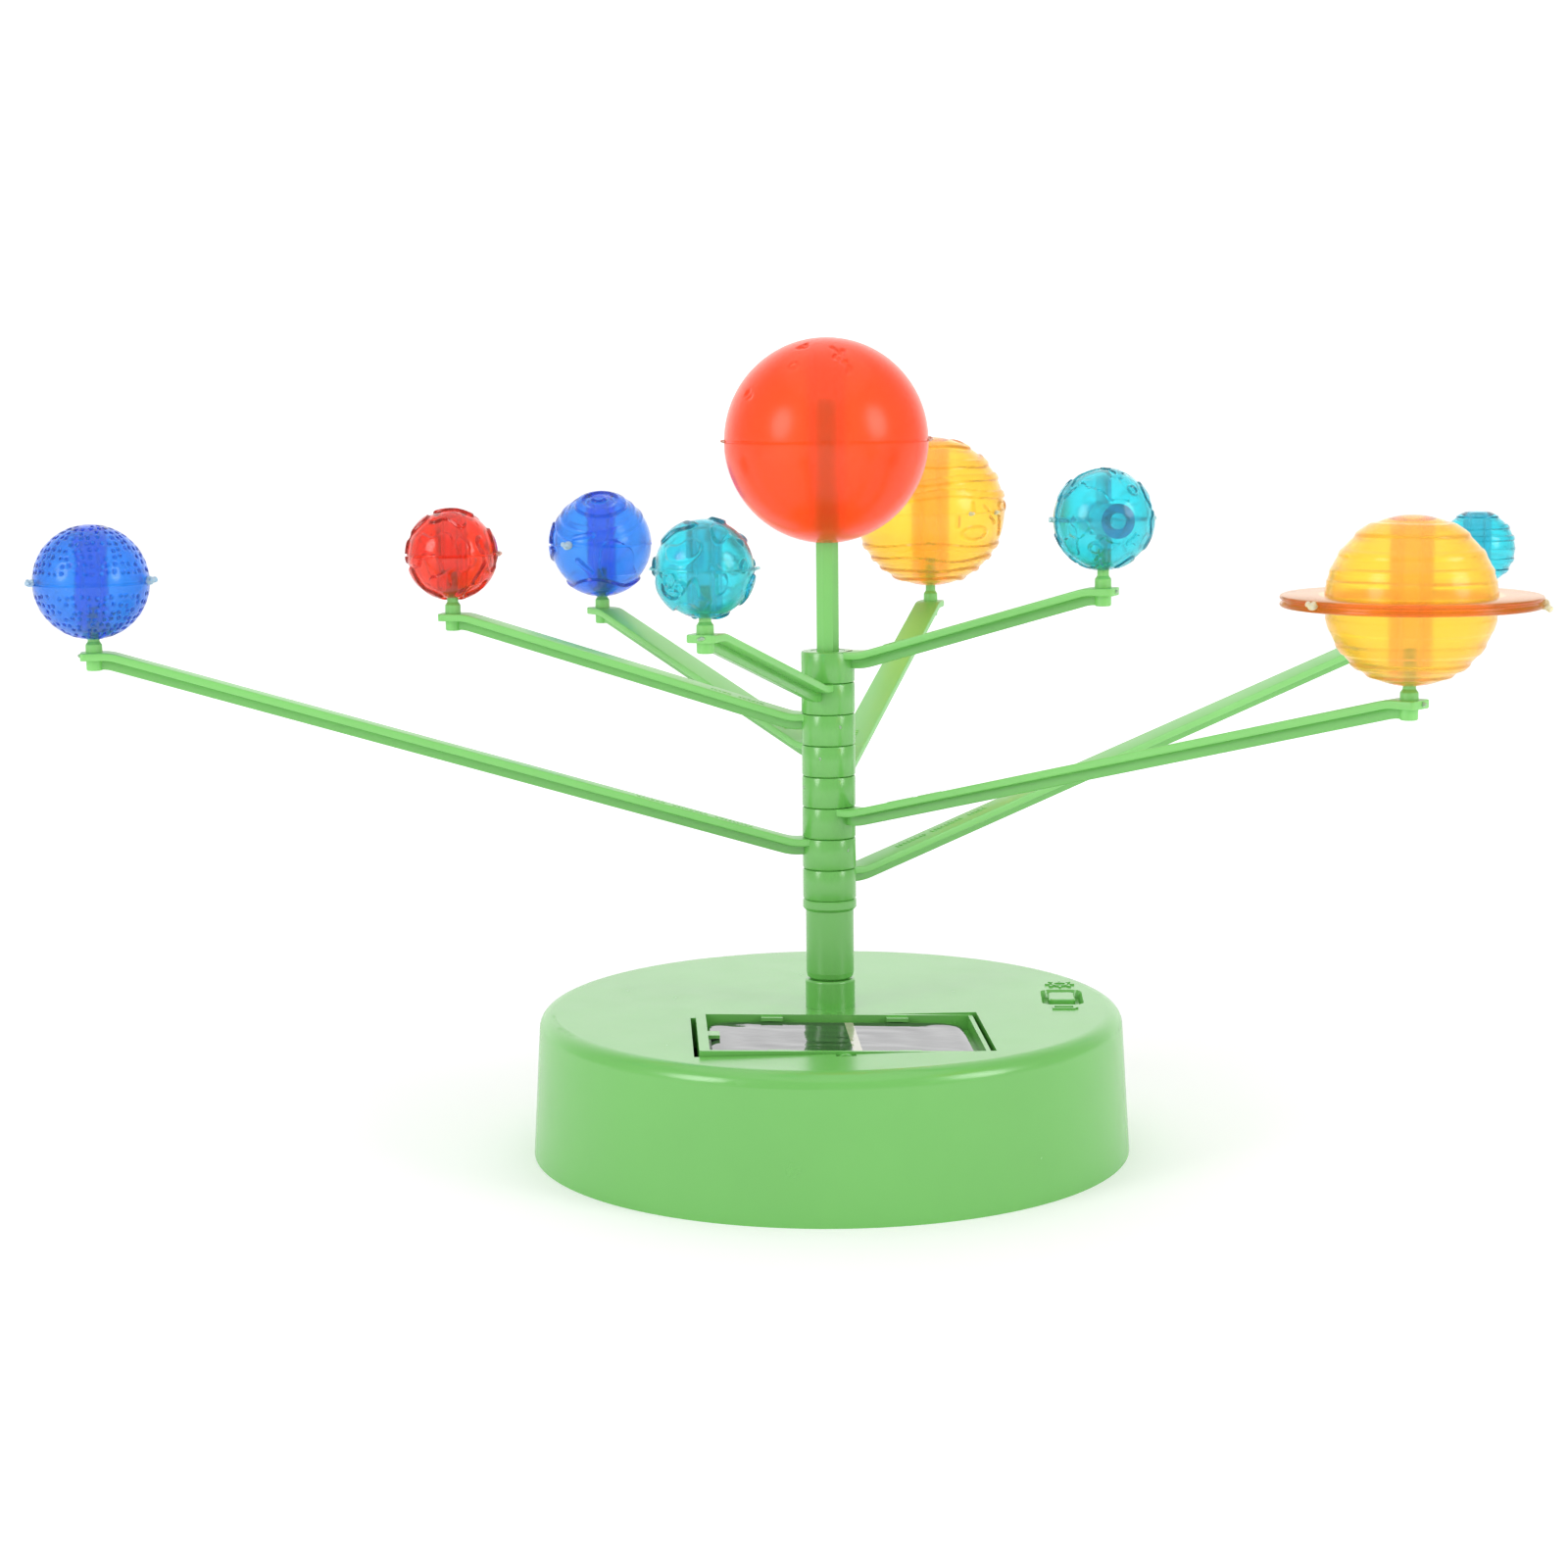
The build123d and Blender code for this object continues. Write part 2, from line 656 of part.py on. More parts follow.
# ---------------------------------------------------------------- planets
for number, (reach, heading, pad_height, centre_height, radius, stub_heading) in enumerate(planets, 1):
    planet_bottom = centre_height - radius
    boss_top = min(pad_height + boss_height, planet_bottom - 0.5)
    upright = number == upright_planet
    peg_top = planet_bottom + shell_wall + (upright_peg_depth if upright else peg_depth)
    arm(number, reach, heading, pad_height, peg_top, boss_top)

    centre = on_circle(reach, heading, centre_height)
    bore = peg_radius + running_clearance
    names = (f"planet_{number}_upper_shell", f"planet_{number}_lower_shell")
    normal = (0, 0, 1)
    ball = hollow_ball(radius, shell_wall, stub_heading, socket_radius, bore, 1.5)
    if number == ring_planet:
        with BuildPart() as ringed:
            add(ball)
            with BuildSketch(Plane.XY.offset(-ring_thickness / 2)):
                Circle(ring_radius)
                Circle(radius - shell_wall / 2, mode=Mode.SUBTRACT)
            extrude(amount=ring_thickness)
            with Locations(Rotation(0, 0, stub_heading)):
                for side in (-1, 1):
                    with Locations((side * ring_radius, 0, 0)):
                        Box(2 * stub_length, stub_width, stub_thickness)
        ball = ringed.part
    if upright:
        names = ("planet_1_front_shell", "planet_1_back_shell")
        normal = on_circle(1, upright_seam_heading)
        with BuildPart() as crossed:
            Sphere(radius)
            with Locations(Rotation(0, 0, stub_heading)):
                Box(2 * (radius + stub_length), stub_thickness, stub_width)
            Sphere(radius - shell_wall, mode=Mode.SUBTRACT)
            with Locations(Rotation(0, 0, upright_seam_heading) * Rotation(0, 90, 0)):
                Cylinder(cross_tube_radius, 2 * (radius - 0.6))
                Cylinder(cross_tube_radius - shell_wall, 2 * (radius - 1.4), mode=Mode.SUBTRACT)
            with Locations((0, 0, -radius - 1)):
                Cylinder(bore, radius - cross_tube_radius, align=up, mode=Mode.SUBTRACT)
        ball = crossed.part
    halves(ball, centre, normal, *names)

# ---------------------------------------------------------------- solar panel
tilt = radians(tilt_at_rest)
tray = Plane(
    origin=(0, opening_y, tilt_axis_height),
    x_dir=(cos(tilt), 0, -sin(tilt)),
    z_dir=(sin(tilt), 0, cos(tilt)),
)
frame_length = opening_length - 2 * frame_end_gap
frame_depth = opening_depth - 2 * frame_side_gap
panel_top = frame_rise - panel_recess
panel_bottom = frame_floor - frame_drop

with BuildPart() as solar_frame:
    with BuildSketch(tray.offset(-frame_drop)):
        RectangleRounded(frame_length, frame_depth, 0.6)
    extrude(amount=frame_rise + frame_drop)
    with BuildSketch(tray.offset(panel_bottom)):
        with Locations((0.65, 0)):
            Rectangle(frame_length - 2 * frame_wall - 1.3, frame_depth - 2 * frame_wall)
    extrude(amount=frame_rise - panel_bottom, mode=Mode.SUBTRACT)
    with BuildSketch(tray.offset(-frame_drop)):
        Rectangle(panel_length - 12, panel_depth - 12)
    extrude(amount=frame_floor, mode=Mode.SUBTRACT)
    # clips that hold the panel down, two on each long wall and one at the left end
    with BuildSketch(tray.offset(panel_top + 0.05)):
        with Locations(*clip_spots):
            Rectangle(*clip_size)
        with Locations((-frame_length / 2 + 3.3, 0)):
            Rectangle(*end_tongue)
    extrude(amount=clip_rise)
    for end in (-1, 1):
        with BuildSketch(Plane(origin=tray.from_local_coords((0, end * (frame_depth / 2 - 0.3), 0)),
                               x_dir=tray.x_dir, z_dir=(0, end, 0))):
            Circle(trunnion_radius)
        extrude(amount=trunnion_length + 0.3)
save(solar_frame, "solar_frame")

with BuildPart() as solar_panel:
    with BuildSketch(tray.offset(panel_bottom)):
        RectangleRounded(panel_length, panel_depth, panel_corner)
    extrude(amount=panel_top - panel_bottom)
save(solar_panel, "solar_panel")

# ---------------------------------------------------------------- switch
knob_plane = switch_plane.offset(-pocket_depth)
with BuildPart() as switch_knob:
    with BuildSketch(knob_plane.offset(0.1)):
        with Locations((0, knob_offset)):
            RectangleRounded(knob_width, knob_length, 1.2)
    extrude(amount=1.6)
    chamfer(switch_knob.faces().sort_by(Axis.Z)[-1].edges(), 0.3)
    with BuildSketch(knob_plane.offset(-pocket_floor - 2.4)):
        with Locations((0, knob_offset)):
            Rectangle(stem_width, stem_length)
    extrude(amount=pocket_floor + 2.6)
save(switch_knob, "switch_knob")

with BuildPart() as switch_body:
    with BuildSketch(knob_plane.offset(-pocket_floor - 5)):
        Rectangle(8.0, 14.0)
    extrude(amount=5)
    with BuildSketch(knob_plane.offset(-pocket_floor - 3)):
        Rectangle(stem_slot_width, stem_slot_length)
    extrude(amount=3.1, mode=Mode.SUBTRACT)
save(switch_body, "switch_body")
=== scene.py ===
"""Looks of a tabletop orrery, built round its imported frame. Sizes inside functions are millimetres."""
import json
import math

import bpy
import numpy as np
from bpy.props import FloatProperty, FloatVectorProperty, IntProperty, PointerProperty
from mathutils import Matrix, Vector


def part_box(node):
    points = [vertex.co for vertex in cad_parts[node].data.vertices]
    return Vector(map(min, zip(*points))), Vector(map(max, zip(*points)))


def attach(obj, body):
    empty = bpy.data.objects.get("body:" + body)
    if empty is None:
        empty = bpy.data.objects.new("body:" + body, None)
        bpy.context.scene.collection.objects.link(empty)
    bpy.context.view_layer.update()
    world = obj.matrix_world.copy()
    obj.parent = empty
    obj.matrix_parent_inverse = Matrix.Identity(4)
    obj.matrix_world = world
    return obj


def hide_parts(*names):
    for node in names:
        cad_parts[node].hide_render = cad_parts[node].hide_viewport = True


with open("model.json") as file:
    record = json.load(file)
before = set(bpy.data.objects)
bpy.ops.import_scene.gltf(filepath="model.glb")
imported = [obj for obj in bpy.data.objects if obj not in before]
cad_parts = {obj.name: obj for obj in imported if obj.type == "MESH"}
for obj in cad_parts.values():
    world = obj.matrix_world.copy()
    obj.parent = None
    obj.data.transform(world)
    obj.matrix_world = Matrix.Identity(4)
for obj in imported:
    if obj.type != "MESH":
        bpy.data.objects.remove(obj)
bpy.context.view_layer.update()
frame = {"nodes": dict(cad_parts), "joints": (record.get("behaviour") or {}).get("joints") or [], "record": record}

bl_info = {
    "name": "Tabletop Orrery",
    "version": (1, 0, 0),
    "blender": (4, 5, 0),
    "location": "View3D > Sidebar > Orrery",
    "description": "Moulded arms, hollow planets, sun, solar cell and studio for a packed orrery",
    "category": "Add Mesh",
}

MM = 0.001
joints = {joint["name"]: joint for joint in frame["joints"]}


# ------------------------------------------------------------------ places read from the frame
def node_box(name):
    """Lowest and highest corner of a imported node, in millimetres."""
    low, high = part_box(name)
    return np.array(low) / MM, np.array(high) / MM


def peg_place(number):
    """Reach and heading (radians) of a planet's peg, from its spin joint."""
    x, y, _ = joints[f"planet_{number}_spin"]["pos_m"]
    return math.hypot(x, y) / MM, math.atan2(y, x)


# ------------------------------------------------------------------ surfaces
def unit(vectors):
    """Each vector divided by its length."""
    return vectors / np.linalg.norm(vectors, axis=-1, keepdims=True)


def smooth_step(x):
    """0 below 0, 1 above 1, and 3x^2 - 2x^3 between."""
    x = np.clip(x, 0, 1)
    return x * x * (3 - 2 * x)


def grid_shell(grid, rows_wrap=False, first_pole=False, last_pole=False):
    """A closed surface from a grid of points, rows x columns x 3, whose columns wrap round.

    Each cell of the grid is a quad. A pole row is one point, joined to its neighbour row by
    triangles. The faces are turned round if the enclosed volume comes out negative. A fourth
    number at each point is how steep the relief is there, and is carried along.
    """
    rows, columns = grid.shape[:2]
    number = np.arange(rows * columns).reshape(rows, columns)
    if first_pole:
        number[0] = number[0, 0]
    if last_pole:
        number[-1] = number[-1, 0]
    if rows_wrap:
        number = np.vstack([number, number[:1]])
    here, there = number, np.roll(number, -1, axis=1)
    quads = np.stack([here[:-1], there[:-1], there[1:], here[1:]], -1).reshape(-1, 4)
    top = quads[:, 0] == quads[:, 1]
    bottom = quads[:, 2] == quads[:, 3]
    triangles = np.vstack([quads[top][:, [0, 2, 3]], quads[bottom][:, [0, 1, 2]]])
    quads = quads[~(top | bottom)]
    points = grid.reshape(-1, grid.shape[-1])
    used, new = np.unique(np.concatenate([quads.ravel(), triangles.ravel()]), return_inverse=True)
    points = points[used]
    quads, triangles = new[: quads.size].reshape(-1, 4), new[quads.size:].reshape(-1, 3)
    split = np.vstack([quads[:, [0, 1, 2]], quads[:, [0, 2, 3]], triangles])
    a, b, c = (points[split[:, k], :3] for k in range(3))
    if np.einsum("ij,ij->i", a, np.cross(b, c)).sum() < 0:
        quads, triangles = quads[:, ::-1], triangles[:, ::-1]
    return points, quads, triangles


def lathe(profile, segments=48, wrap=False, centre=(0, 0, 0)):
    """Carries a profile of (radius, height) round a vertical axis: (r cos a, r sin a, h)."""
    profile = np.asarray(profile, float)
    a = np.linspace(0, 2 * np.pi, segments, endpoint=False)
    r, h = profile[:, :1], profile[:, 1:]
    grid = np.stack([r * np.cos(a), r * np.sin(a), h + 0 * a], -1) + np.asarray(centre)
    return grid_shell(grid, wrap, profile[0, 0] == 0, profile[-1, 0] == 0)


def rounded_outline(width, depth, corner, steps=5):
    """Points round a rectangle with quarter-circle corners, centred on 0."""
    t = np.linspace(0, np.pi / 2, steps)
    quarter = corner * np.stack([np.cos(t), np.sin(t)], -1)
    spots = [(1, 1), (-1, 1), (-1, -1), (1, -1)]
    arcs = []
    for turn, (sx, sy) in enumerate(spots):
        c, s = math.cos(turn * math.pi / 2), math.sin(turn * math.pi / 2)
        middle = np.array([sx * (width / 2 - corner), sy * (depth / 2 - corner)])
        arcs.append(quarter @ np.array([[c, s], [-s, c]]) + middle)
    return np.vstack(arcs)


def capped_sweep(grid):
    """A swept section closed at both ends by a fan to its middle."""
    first = np.repeat(grid[:1].mean(1, keepdims=True), grid.shape[1], 1)
    last = np.repeat(grid[-1:].mean(1, keepdims=True), grid.shape[1], 1)
    return grid_shell(np.concatenate([first, grid, last]), False, True, True)


def block(size, corner, centre, axes=np.eye(3)):
    """A small bar: a rounded rectangle swept straight up, its rim drawn in a little at the top."""
    outline = rounded_outline(size[0], size[1], corner, 3)
    levels = ((0, 1.0), (0.7, 1.0), (1.0, 0.86))
    grid = np.stack([np.column_stack([outline * k, np.full(len(outline), size[2] * h)]) for h, k in levels])
    return capped_sweep(grid @ np.asarray(axes) + np.asarray(centre))


def nub(centre, size, seed):
    """A torn sprue stub: a ball of radius 1 + three random ripples, stretched by size."""
    t = np.linspace(0, np.pi, 9)[:, None]
    a = np.linspace(0, 2 * np.pi, 12, endpoint=False)[None]
    way = np.stack([np.sin(t) * np.cos(a), np.sin(t) * np.sin(a), np.cos(t) + 0 * a], -1)
    lumps = 1 + 0.16 * ripple(way, seed, 3.0, 3)
    grid = way * lumps[..., None] * np.asarray(size) + np.asarray(centre)
    return grid_shell(grid, False, True, True)


def turned(shell, heading=0.0, centre=(0, 0, 0), lean=0.0):
    """A shell leaned about Y, turned about Z, then moved to its centre."""
    points, quads, triangles = shell
    spin = np.array(Matrix.Rotation(heading, 3, "Z") @ Matrix.Rotation(lean, 3, "Y"))
    return np.column_stack([points[:, :3] @ spin.T + np.asarray(centre), points[:, 3:]]), quads, triangles


def make_piece(name, shells, finishes, body, stands_for=(), sharp=35):
    """Joins shells into one object, in metres, gives each its finish, and lets it ride on a body."""
    points, steepness, faces, tone = [], [], [], []
    offset = 0
    for shell, finish in shells:
        p, quads, triangles = shell
        points.append(p[:, :3] * MM)
        steepness.append(p[:, 3] if p.shape[1] > 3 else np.zeros(len(p)))
        faces += (quads + offset).tolist() + (triangles + offset).tolist()
        tone += [finish] * (len(quads) + len(triangles))
        offset += len(p)
    mesh = bpy.data.meshes.new(name)
    mesh.from_pydata(np.vstack(points), [], faces)
    mesh.attributes.new("steepness", "FLOAT", "POINT").data.foreach_set("value", np.concatenate(steepness))
    for finish in finishes:
        mesh.materials.append(finish)
    mesh.polygons.foreach_set("material_index", tone)
    mesh.polygons.foreach_set("use_smooth", np.ones(len(faces), bool))
    mesh.set_sharp_from_angle(angle=math.radians(sharp))
    mesh.update()
    piece = bpy.data.objects.new(name, mesh)
    bpy.context.scene.collection.objects.link(piece)
    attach(piece, body)
    if stands_for:
        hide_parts(*stands_for)
    return piece


# ------------------------------------------------------------------ relief on the planets
def ripple(way, seed, waves, count=16):
    """A smooth field on a sphere: a sum of plane waves cos(k.d + p) with random k of about one length."""
    pick = np.random.default_rng(seed)
    k = unit(pick.normal(size=(count, 3))) * waves * pick.uniform(0.75, 1.25, (count, 1))
    p = pick.uniform(0, 2 * np.pi, count)
    return np.cos(way @ k.T + p).sum(-1) / math.sqrt(count / 2)


def plates(way, seed, waves, level, edge=0.12, jagged=0.0):
    """1 on the raised islands where the field is over a level, 0 on the sea round them.

    A finer field, times `jagged`, is added first and makes the coasts ragged.
    """
    field = ripple(way, seed, waves) + jagged * ripple(way, seed + 100, 3.2 * waves)
    return smooth_step((field - level) / edge + 0.5)


def towards(heading, height):
    """Unit vector at a heading in degrees and a height from -1 to 1."""
    c = math.sqrt(1 - height * height)
    return np.array([c * math.cos(math.radians(heading)), c * math.sin(math.radians(heading)), height])


def crater(way, heading, height, size, rim=0.22):
    """A rim of height 1 at an angle `size` from the middle: exp(-((angle - size) / (rim size))^2)."""
    angle = np.arccos(np.clip(way @ towards(heading, height), -1, 1))
    return np.exp(-(((angle - size) / (rim * size)) ** 2))


def stroke(way, start, end, width):
    """A raised line along the great circle from start to end, each a (heading, height) pair."""
    a, b = towards(*start), towards(*end)
    along = np.clip((way - a) @ (b - a) / ((b - a) @ (b - a)), 0, 1)[..., None]
    gap = np.linalg.norm(way - unit(a + along * (b - a)), axis=-1)
    return smooth_step(1.6 - 1.6 * gap / width)


def craggy_islands(way):
    """Ragged islands and craters, with a smooth cap over the cross tube at the pole."""
    h = plates(way, 21, 9.2, 0.62, 0.16, 0.20)
    off_pole = np.arccos(np.clip(way[..., 2], -1, 1))
    h *= smooth_step((off_pole - 0.42) / 0.05)
    for heading, height, size in ((-38, 0.74, 0.13), (150, 0.72, 0.10), (60, 0.42, 0.15), (200, -0.5, 0.16)):
        floor = crater(way, heading, height, size * 0.4, 1.2)
        h = np.maximum(h * (1 - floor), crater(way, heading, height, size))
    return h


def blobs_and_craters(way):
    """Rounded islands and rimmed craters."""
    h = plates(way, 5, 10.0, 0.55, 0.60)
    pick = np.random.default_rng(11)
    for _ in range(5):
        heading, height, size = pick.uniform(0, 360), pick.uniform(-0.8, 0.85), pick.uniform(0.12, 0.2)
        h = np.maximum(h, 0.9 * crater(way, heading, height, size, 0.3))
    return h


def upright_shards(way):
    """Tall rounded islands: the field is stretched along the pole."""
    return plates(way * np.array([1.2, 1.2, 0.7]), 8, 12.0, 0.30, 0.62)


def storm_swirls(way):
    """A spiral at the top, a wavy skirt near the bottom, islands at the sides and short strokes."""
    heading = np.arctan2(way[..., 1], way[..., 0])
    lift = np.arccos(np.clip(way @ towards(-96, 0.90), -1, 1))
    spiral = (lift / 0.38 - heading / (2 * np.pi)) % 1.0
    top = smooth_step((0.66 - lift) / 0.08) * smooth_step(spiral / 0.22) * smooth_step((0.72 - spiral) / 0.2)
    for reach in (0.86, 1.08):
        top = np.maximum(top, 0.45 * smooth_step((reach + 0.05 * np.sin(2 * heading) - lift) / 0.05)
                         * smooth_step((lift - reach + 0.16) / 0.14))
    skirt = smooth_step((-0.70 + 0.07 * np.sin(3 * heading + 0.6) - way[..., 2]) / 0.03)
    sides = plates(way, 3, 4.2, 0.75, 0.10, 0.1) * smooth_step((0.6 - np.abs(way[..., 2])) / 0.05)
    h = np.maximum(np.maximum(top, skirt), sides)
    strokes = (((-118, -0.28), (-104, -0.5)), ((-122, 0.16), (-100, 0.22)), ((-60, -0.1), (-66, -0.36)),
               ((20, 0.1), (34, -0.2)), ((110, 0.2), (140, 0.3)), ((170, -0.3), (200, -0.1)))
    for start, end in strokes:
        h = np.maximum(h, stroke(way, start, end, 0.07))
    return h


def wavy_belts(way):
    """Raised belts whose edges wave with the heading, ovals, and short hooks near the seam."""
    heading = np.arctan2(way[..., 1], way[..., 0])
    z = way[..., 2]
    h = np.zeros_like(z)
    belts = ((0.93, 0.85, 0.020), (0.72, 0.60, 0.030), (0.50, 0.40, 0.035), (0.30, 0.19, 0.030),
             (-0.40, -0.50, 0.020), (-0.585, -0.665, 0.022), (-0.74, -0.80, 0.015), (-0.86, -0.91, 0.012))
    for turn, (high, low, sway) in enumerate(belts):
        wave = sway * (np.sin(3 * heading + 1.7 * turn) + 0.6 * np.sin(5 * heading + 0.9 * turn))
        inside = smooth_step((high + wave - z) / 0.018) * smooth_step((z - low - 0.8 * wave) / 0.018)
        h = np.maximum(h, inside)
    for middle, height, wide in ((-58, -0.26, 0.2), (-20, 0.08, 0.16), (70, -0.1, 0.2), (190, 0.02, 0.18)):
        across = np.angle(np.exp(1j * (heading - math.radians(middle)))) / wide
        up = (z - height) / (0.42 * wide)
        h = np.maximum(h, np.exp(-(((np.hypot(across, up) - 1) / 0.18) ** 2)))
    for start, end in (((-74, -0.02), (-74, -0.17)), ((-61, 0.03), (-61, 0.15)), ((-50, 0.10), (-44, 0.02)),
                       ((-44, -0.03), (-36, -0.14)), ((-30, -0.05), (-24, -0.3))):
        h = np.maximum(h, stroke(way, start, end, 0.022))
    return h


def stepped_belts(way):
    """Level terraces: between two heights the surface stands one step up, with soft edges."""
    z = way[..., 2]
    heading = np.arctan2(way[..., 1], way[..., 0])
    h = np.zeros_like(z)
    for turn, (high, low, tall) in enumerate((
        (0.90, 0.76, 1.0), (0.60, 0.53, 0.55), (0.40, 0.34, 0.45), (0.245, 0.225, 0.5),
        (-0.20, -0.36, 0.4), (-0.50, -0.62, 0.7), (-0.72, -0.80, 1.0), (-0.865, -0.90, 0.8),
    )):
        wave = 0.006 * np.sin(2 * heading + 2.1 * turn)
        edge = 0.035
        inside = smooth_step((high + wave - z) / edge + 0.5) * smooth_step((z - low - wave) / edge + 0.5)
        h = np.maximum(h, tall * inside)
    return h


def dimple_rows(way):
    """Uneven rows of small oval pits, with a smooth band on both sides of the seam.

    Row k lies at latitude (k + 1/2) g. Each pit is exp(-(u^2 + v^2)^1.6) of its own small offsets,
    which are sines of its row and place, and about one pit in six is left out.
    """
    latitude = np.arcsin(np.clip(way[..., 2], -1, 1))
    heading = np.arctan2(way[..., 1], way[..., 0])
    row_gap = 0.140
    row = np.floor(latitude / row_gap)
    around = np.maximum(4, np.round(47 * np.cos((row + 0.5) * row_gap)))
    turn = heading / (2 * np.pi) * around + 0.5 * row
    place = np.floor(turn)
    chance = np.sin(place * 12.9898 + row * 78.233) * 437.58
    chance -= np.floor(chance)
    up = latitude / row_gap - row - 0.5 + 0.16 * np.sin(place * 5.1 + row * 2.3)
    across = turn - place - 0.5 + 0.14 * np.sin(place * 3.7 + row * 7.9)
    pit = np.exp(-((across / 0.21) ** 2 + (up / 0.27) ** 2) ** 1.6) * (chance > 0.16)
    clear = smooth_step((np.abs(latitude) - 0.16) / 0.02) * smooth_step((1.42 - np.abs(latitude)) / 0.05)
    return 1 - pit * clear


def even_belts(way):
    """Narrow level belts at even heights."""
    z = way[..., 2]
    return smooth_step((np.cos(z * 21.0) - 0.1) / 0.35) * smooth_step((np.abs(z) - 0.1) / 0.05)


def sun_marks(way):
    """A few small pits and a squiggle near the top; the rest is smooth."""
    h = np.ones(way.shape[:-1])
    for heading, height, size in ((-128, 0.90, 0.036), (-121, 0.905, 0.036), (-125, 0.93, 0.030),
                                  (-152, 0.47, 0.034), (-148, 0.44, 0.034)):
        angle = np.arccos(np.clip(way @ towards(heading, height), -1, 1))
        h -= np.exp(-((angle / size) ** 4))
    squiggle = (((-86, 0.90), (-80, 0.84)), ((-80, 0.84), (-86, 0.80)), ((-86, 0.80), (-76, 0.76)),
                ((-74, 0.87), (-79, 0.80)), ((-80, 0.76), (-75, 0.70)), ((-75, 0.70), (-77, 0.66)))
    for start, end in squiggle:
        h = np.minimum(h, 1 - 0.9 * stroke(way, start, end, 0.030))
    h -= 0.5 * crater(way, -120, 0.72, 0.05, 0.2)
    return h


# ------------------------------------------------------------------ shader maths
class Socket:
    """A shader value. Arithmetic on it adds Math nodes, so formulas read as formulas."""

    def __init__(self, finish, socket):
        self.finish = finish
        self.socket = socket

    def _with(self, operation, left, right):
        return self.finish.node("ShaderNodeMath", {"operation": operation}, {0: left, 1: right})

    def __add__(self, other):
        return self._with("ADD", self, other)

    def __sub__(self, other):
        return self._with("SUBTRACT", self, other)

    def __rsub__(self, other):
        return self._with("SUBTRACT", other, self)

    def __mul__(self, other):
        return self._with("MULTIPLY", self, other)

    def __gt__(self, other):
        return self._with("GREATER_THAN", self, other)

    def __lt__(self, other):
        return self._with("LESS_THAN", self, other)

    def __abs__(self):
        return self._with("ABSOLUTE", self, 0.0)

    __radd__ = __add__
    __rmul__ = __mul__


class Nodes:
    """A node tree in which formulas are written with Socket arithmetic."""

    def __init__(self, tree):
        self.tree = tree

    def node(self, kind, settings, inputs, output=0):
        """Adds a node, sets it, then gives each input its value or link; returns one output."""
        new = self.tree.nodes.new(kind)
        for key, value in settings.items():
            setattr(new, key, value)
        for key, value in inputs.items():
            self.give(new.inputs[key], value)
        return Socket(self, new.outputs[output])

    def give(self, target, value):
        """Links a Socket to an input, or sets the input's own value."""
        if isinstance(value, Socket):
            self.tree.links.new(value.socket, target)
        else:
            target.default_value = value

    def ramp(self, value, low, high, start=0.0, end=1.0):
        """Goes smoothly from start at low to end at high."""
        inputs = {"Value": value, "From Min": low, "From Max": high, "To Min": start, "To Max": end}
        return self.node("ShaderNodeMapRange", {"interpolation_type": "SMOOTHSTEP"}, inputs)


class Finish(Nodes):
    """One material: a Principled shader and the nodes that vary it."""

    def __init__(self, name):
        self.material = bpy.data.materials.new(name)
        self.material.use_nodes = True
        super().__init__(self.material.node_tree)
        self.shader = self.tree.nodes["Principled BSDF"]

    def set(self, **inputs):
        """Sets the Principled shader's inputs; words_with_underscores name its sockets."""
        for key, value in inputs.items():
            self.give(self.shader.inputs[key.replace("_", " ").title().replace("Ior", "IOR")], value)

    def place(self):
        """The piece's own coordinates, in metres."""
        return self.node("ShaderNodeTexCoord", {}, {}, "Object")

    def noise(self, scale, detail=3.0, rough=0.55):
        """Fractal noise, about 0.5, with features about 1 / scale metres across."""
        inputs = {"Vector": self.place(), "Scale": scale, "Detail": detail, "Roughness": rough}
        return self.node("ShaderNodeTexNoise", {}, inputs, 0)

    def mix(self, share, first, second):
        """A colour between two colours."""
        return self.node("ShaderNodeMix", {"data_type": "RGBA"}, {0: share, 6: first, 7: second}, 2)

    def bump(self, height, strength, distance):
        """A surface normal tilted by a height field."""
        inputs = {"Height": height, "Strength": strength, "Distance": distance}
        return self.node("ShaderNodeBump", {}, inputs)


def opaque(colour, share=1.0):
    """A colour with full alpha, made darker or lighter by a share."""
    return (*[c * share for c in colour[:3]], 1.0)


def moulded_green(name, colour, dullness=0.20):
    """Semi-gloss green plastic: faint flow marks in the colour, a fine moulded grain."""
    finish = Finish(name)
    flow = finish.noise(34, 4)
    grain = finish.noise(2600, 2)
    handling = finish.noise(120, 3)
    finish.set(
        base_color=finish.mix(flow, opaque(colour, 0.93), opaque(colour, 1.05)),
        roughness=dullness + handling * 0.10,
        specular_ior_level=0.9,
        normal=finish.bump(grain + flow * 0.6, 0.10, 0.00005),
    )
    return finish.material


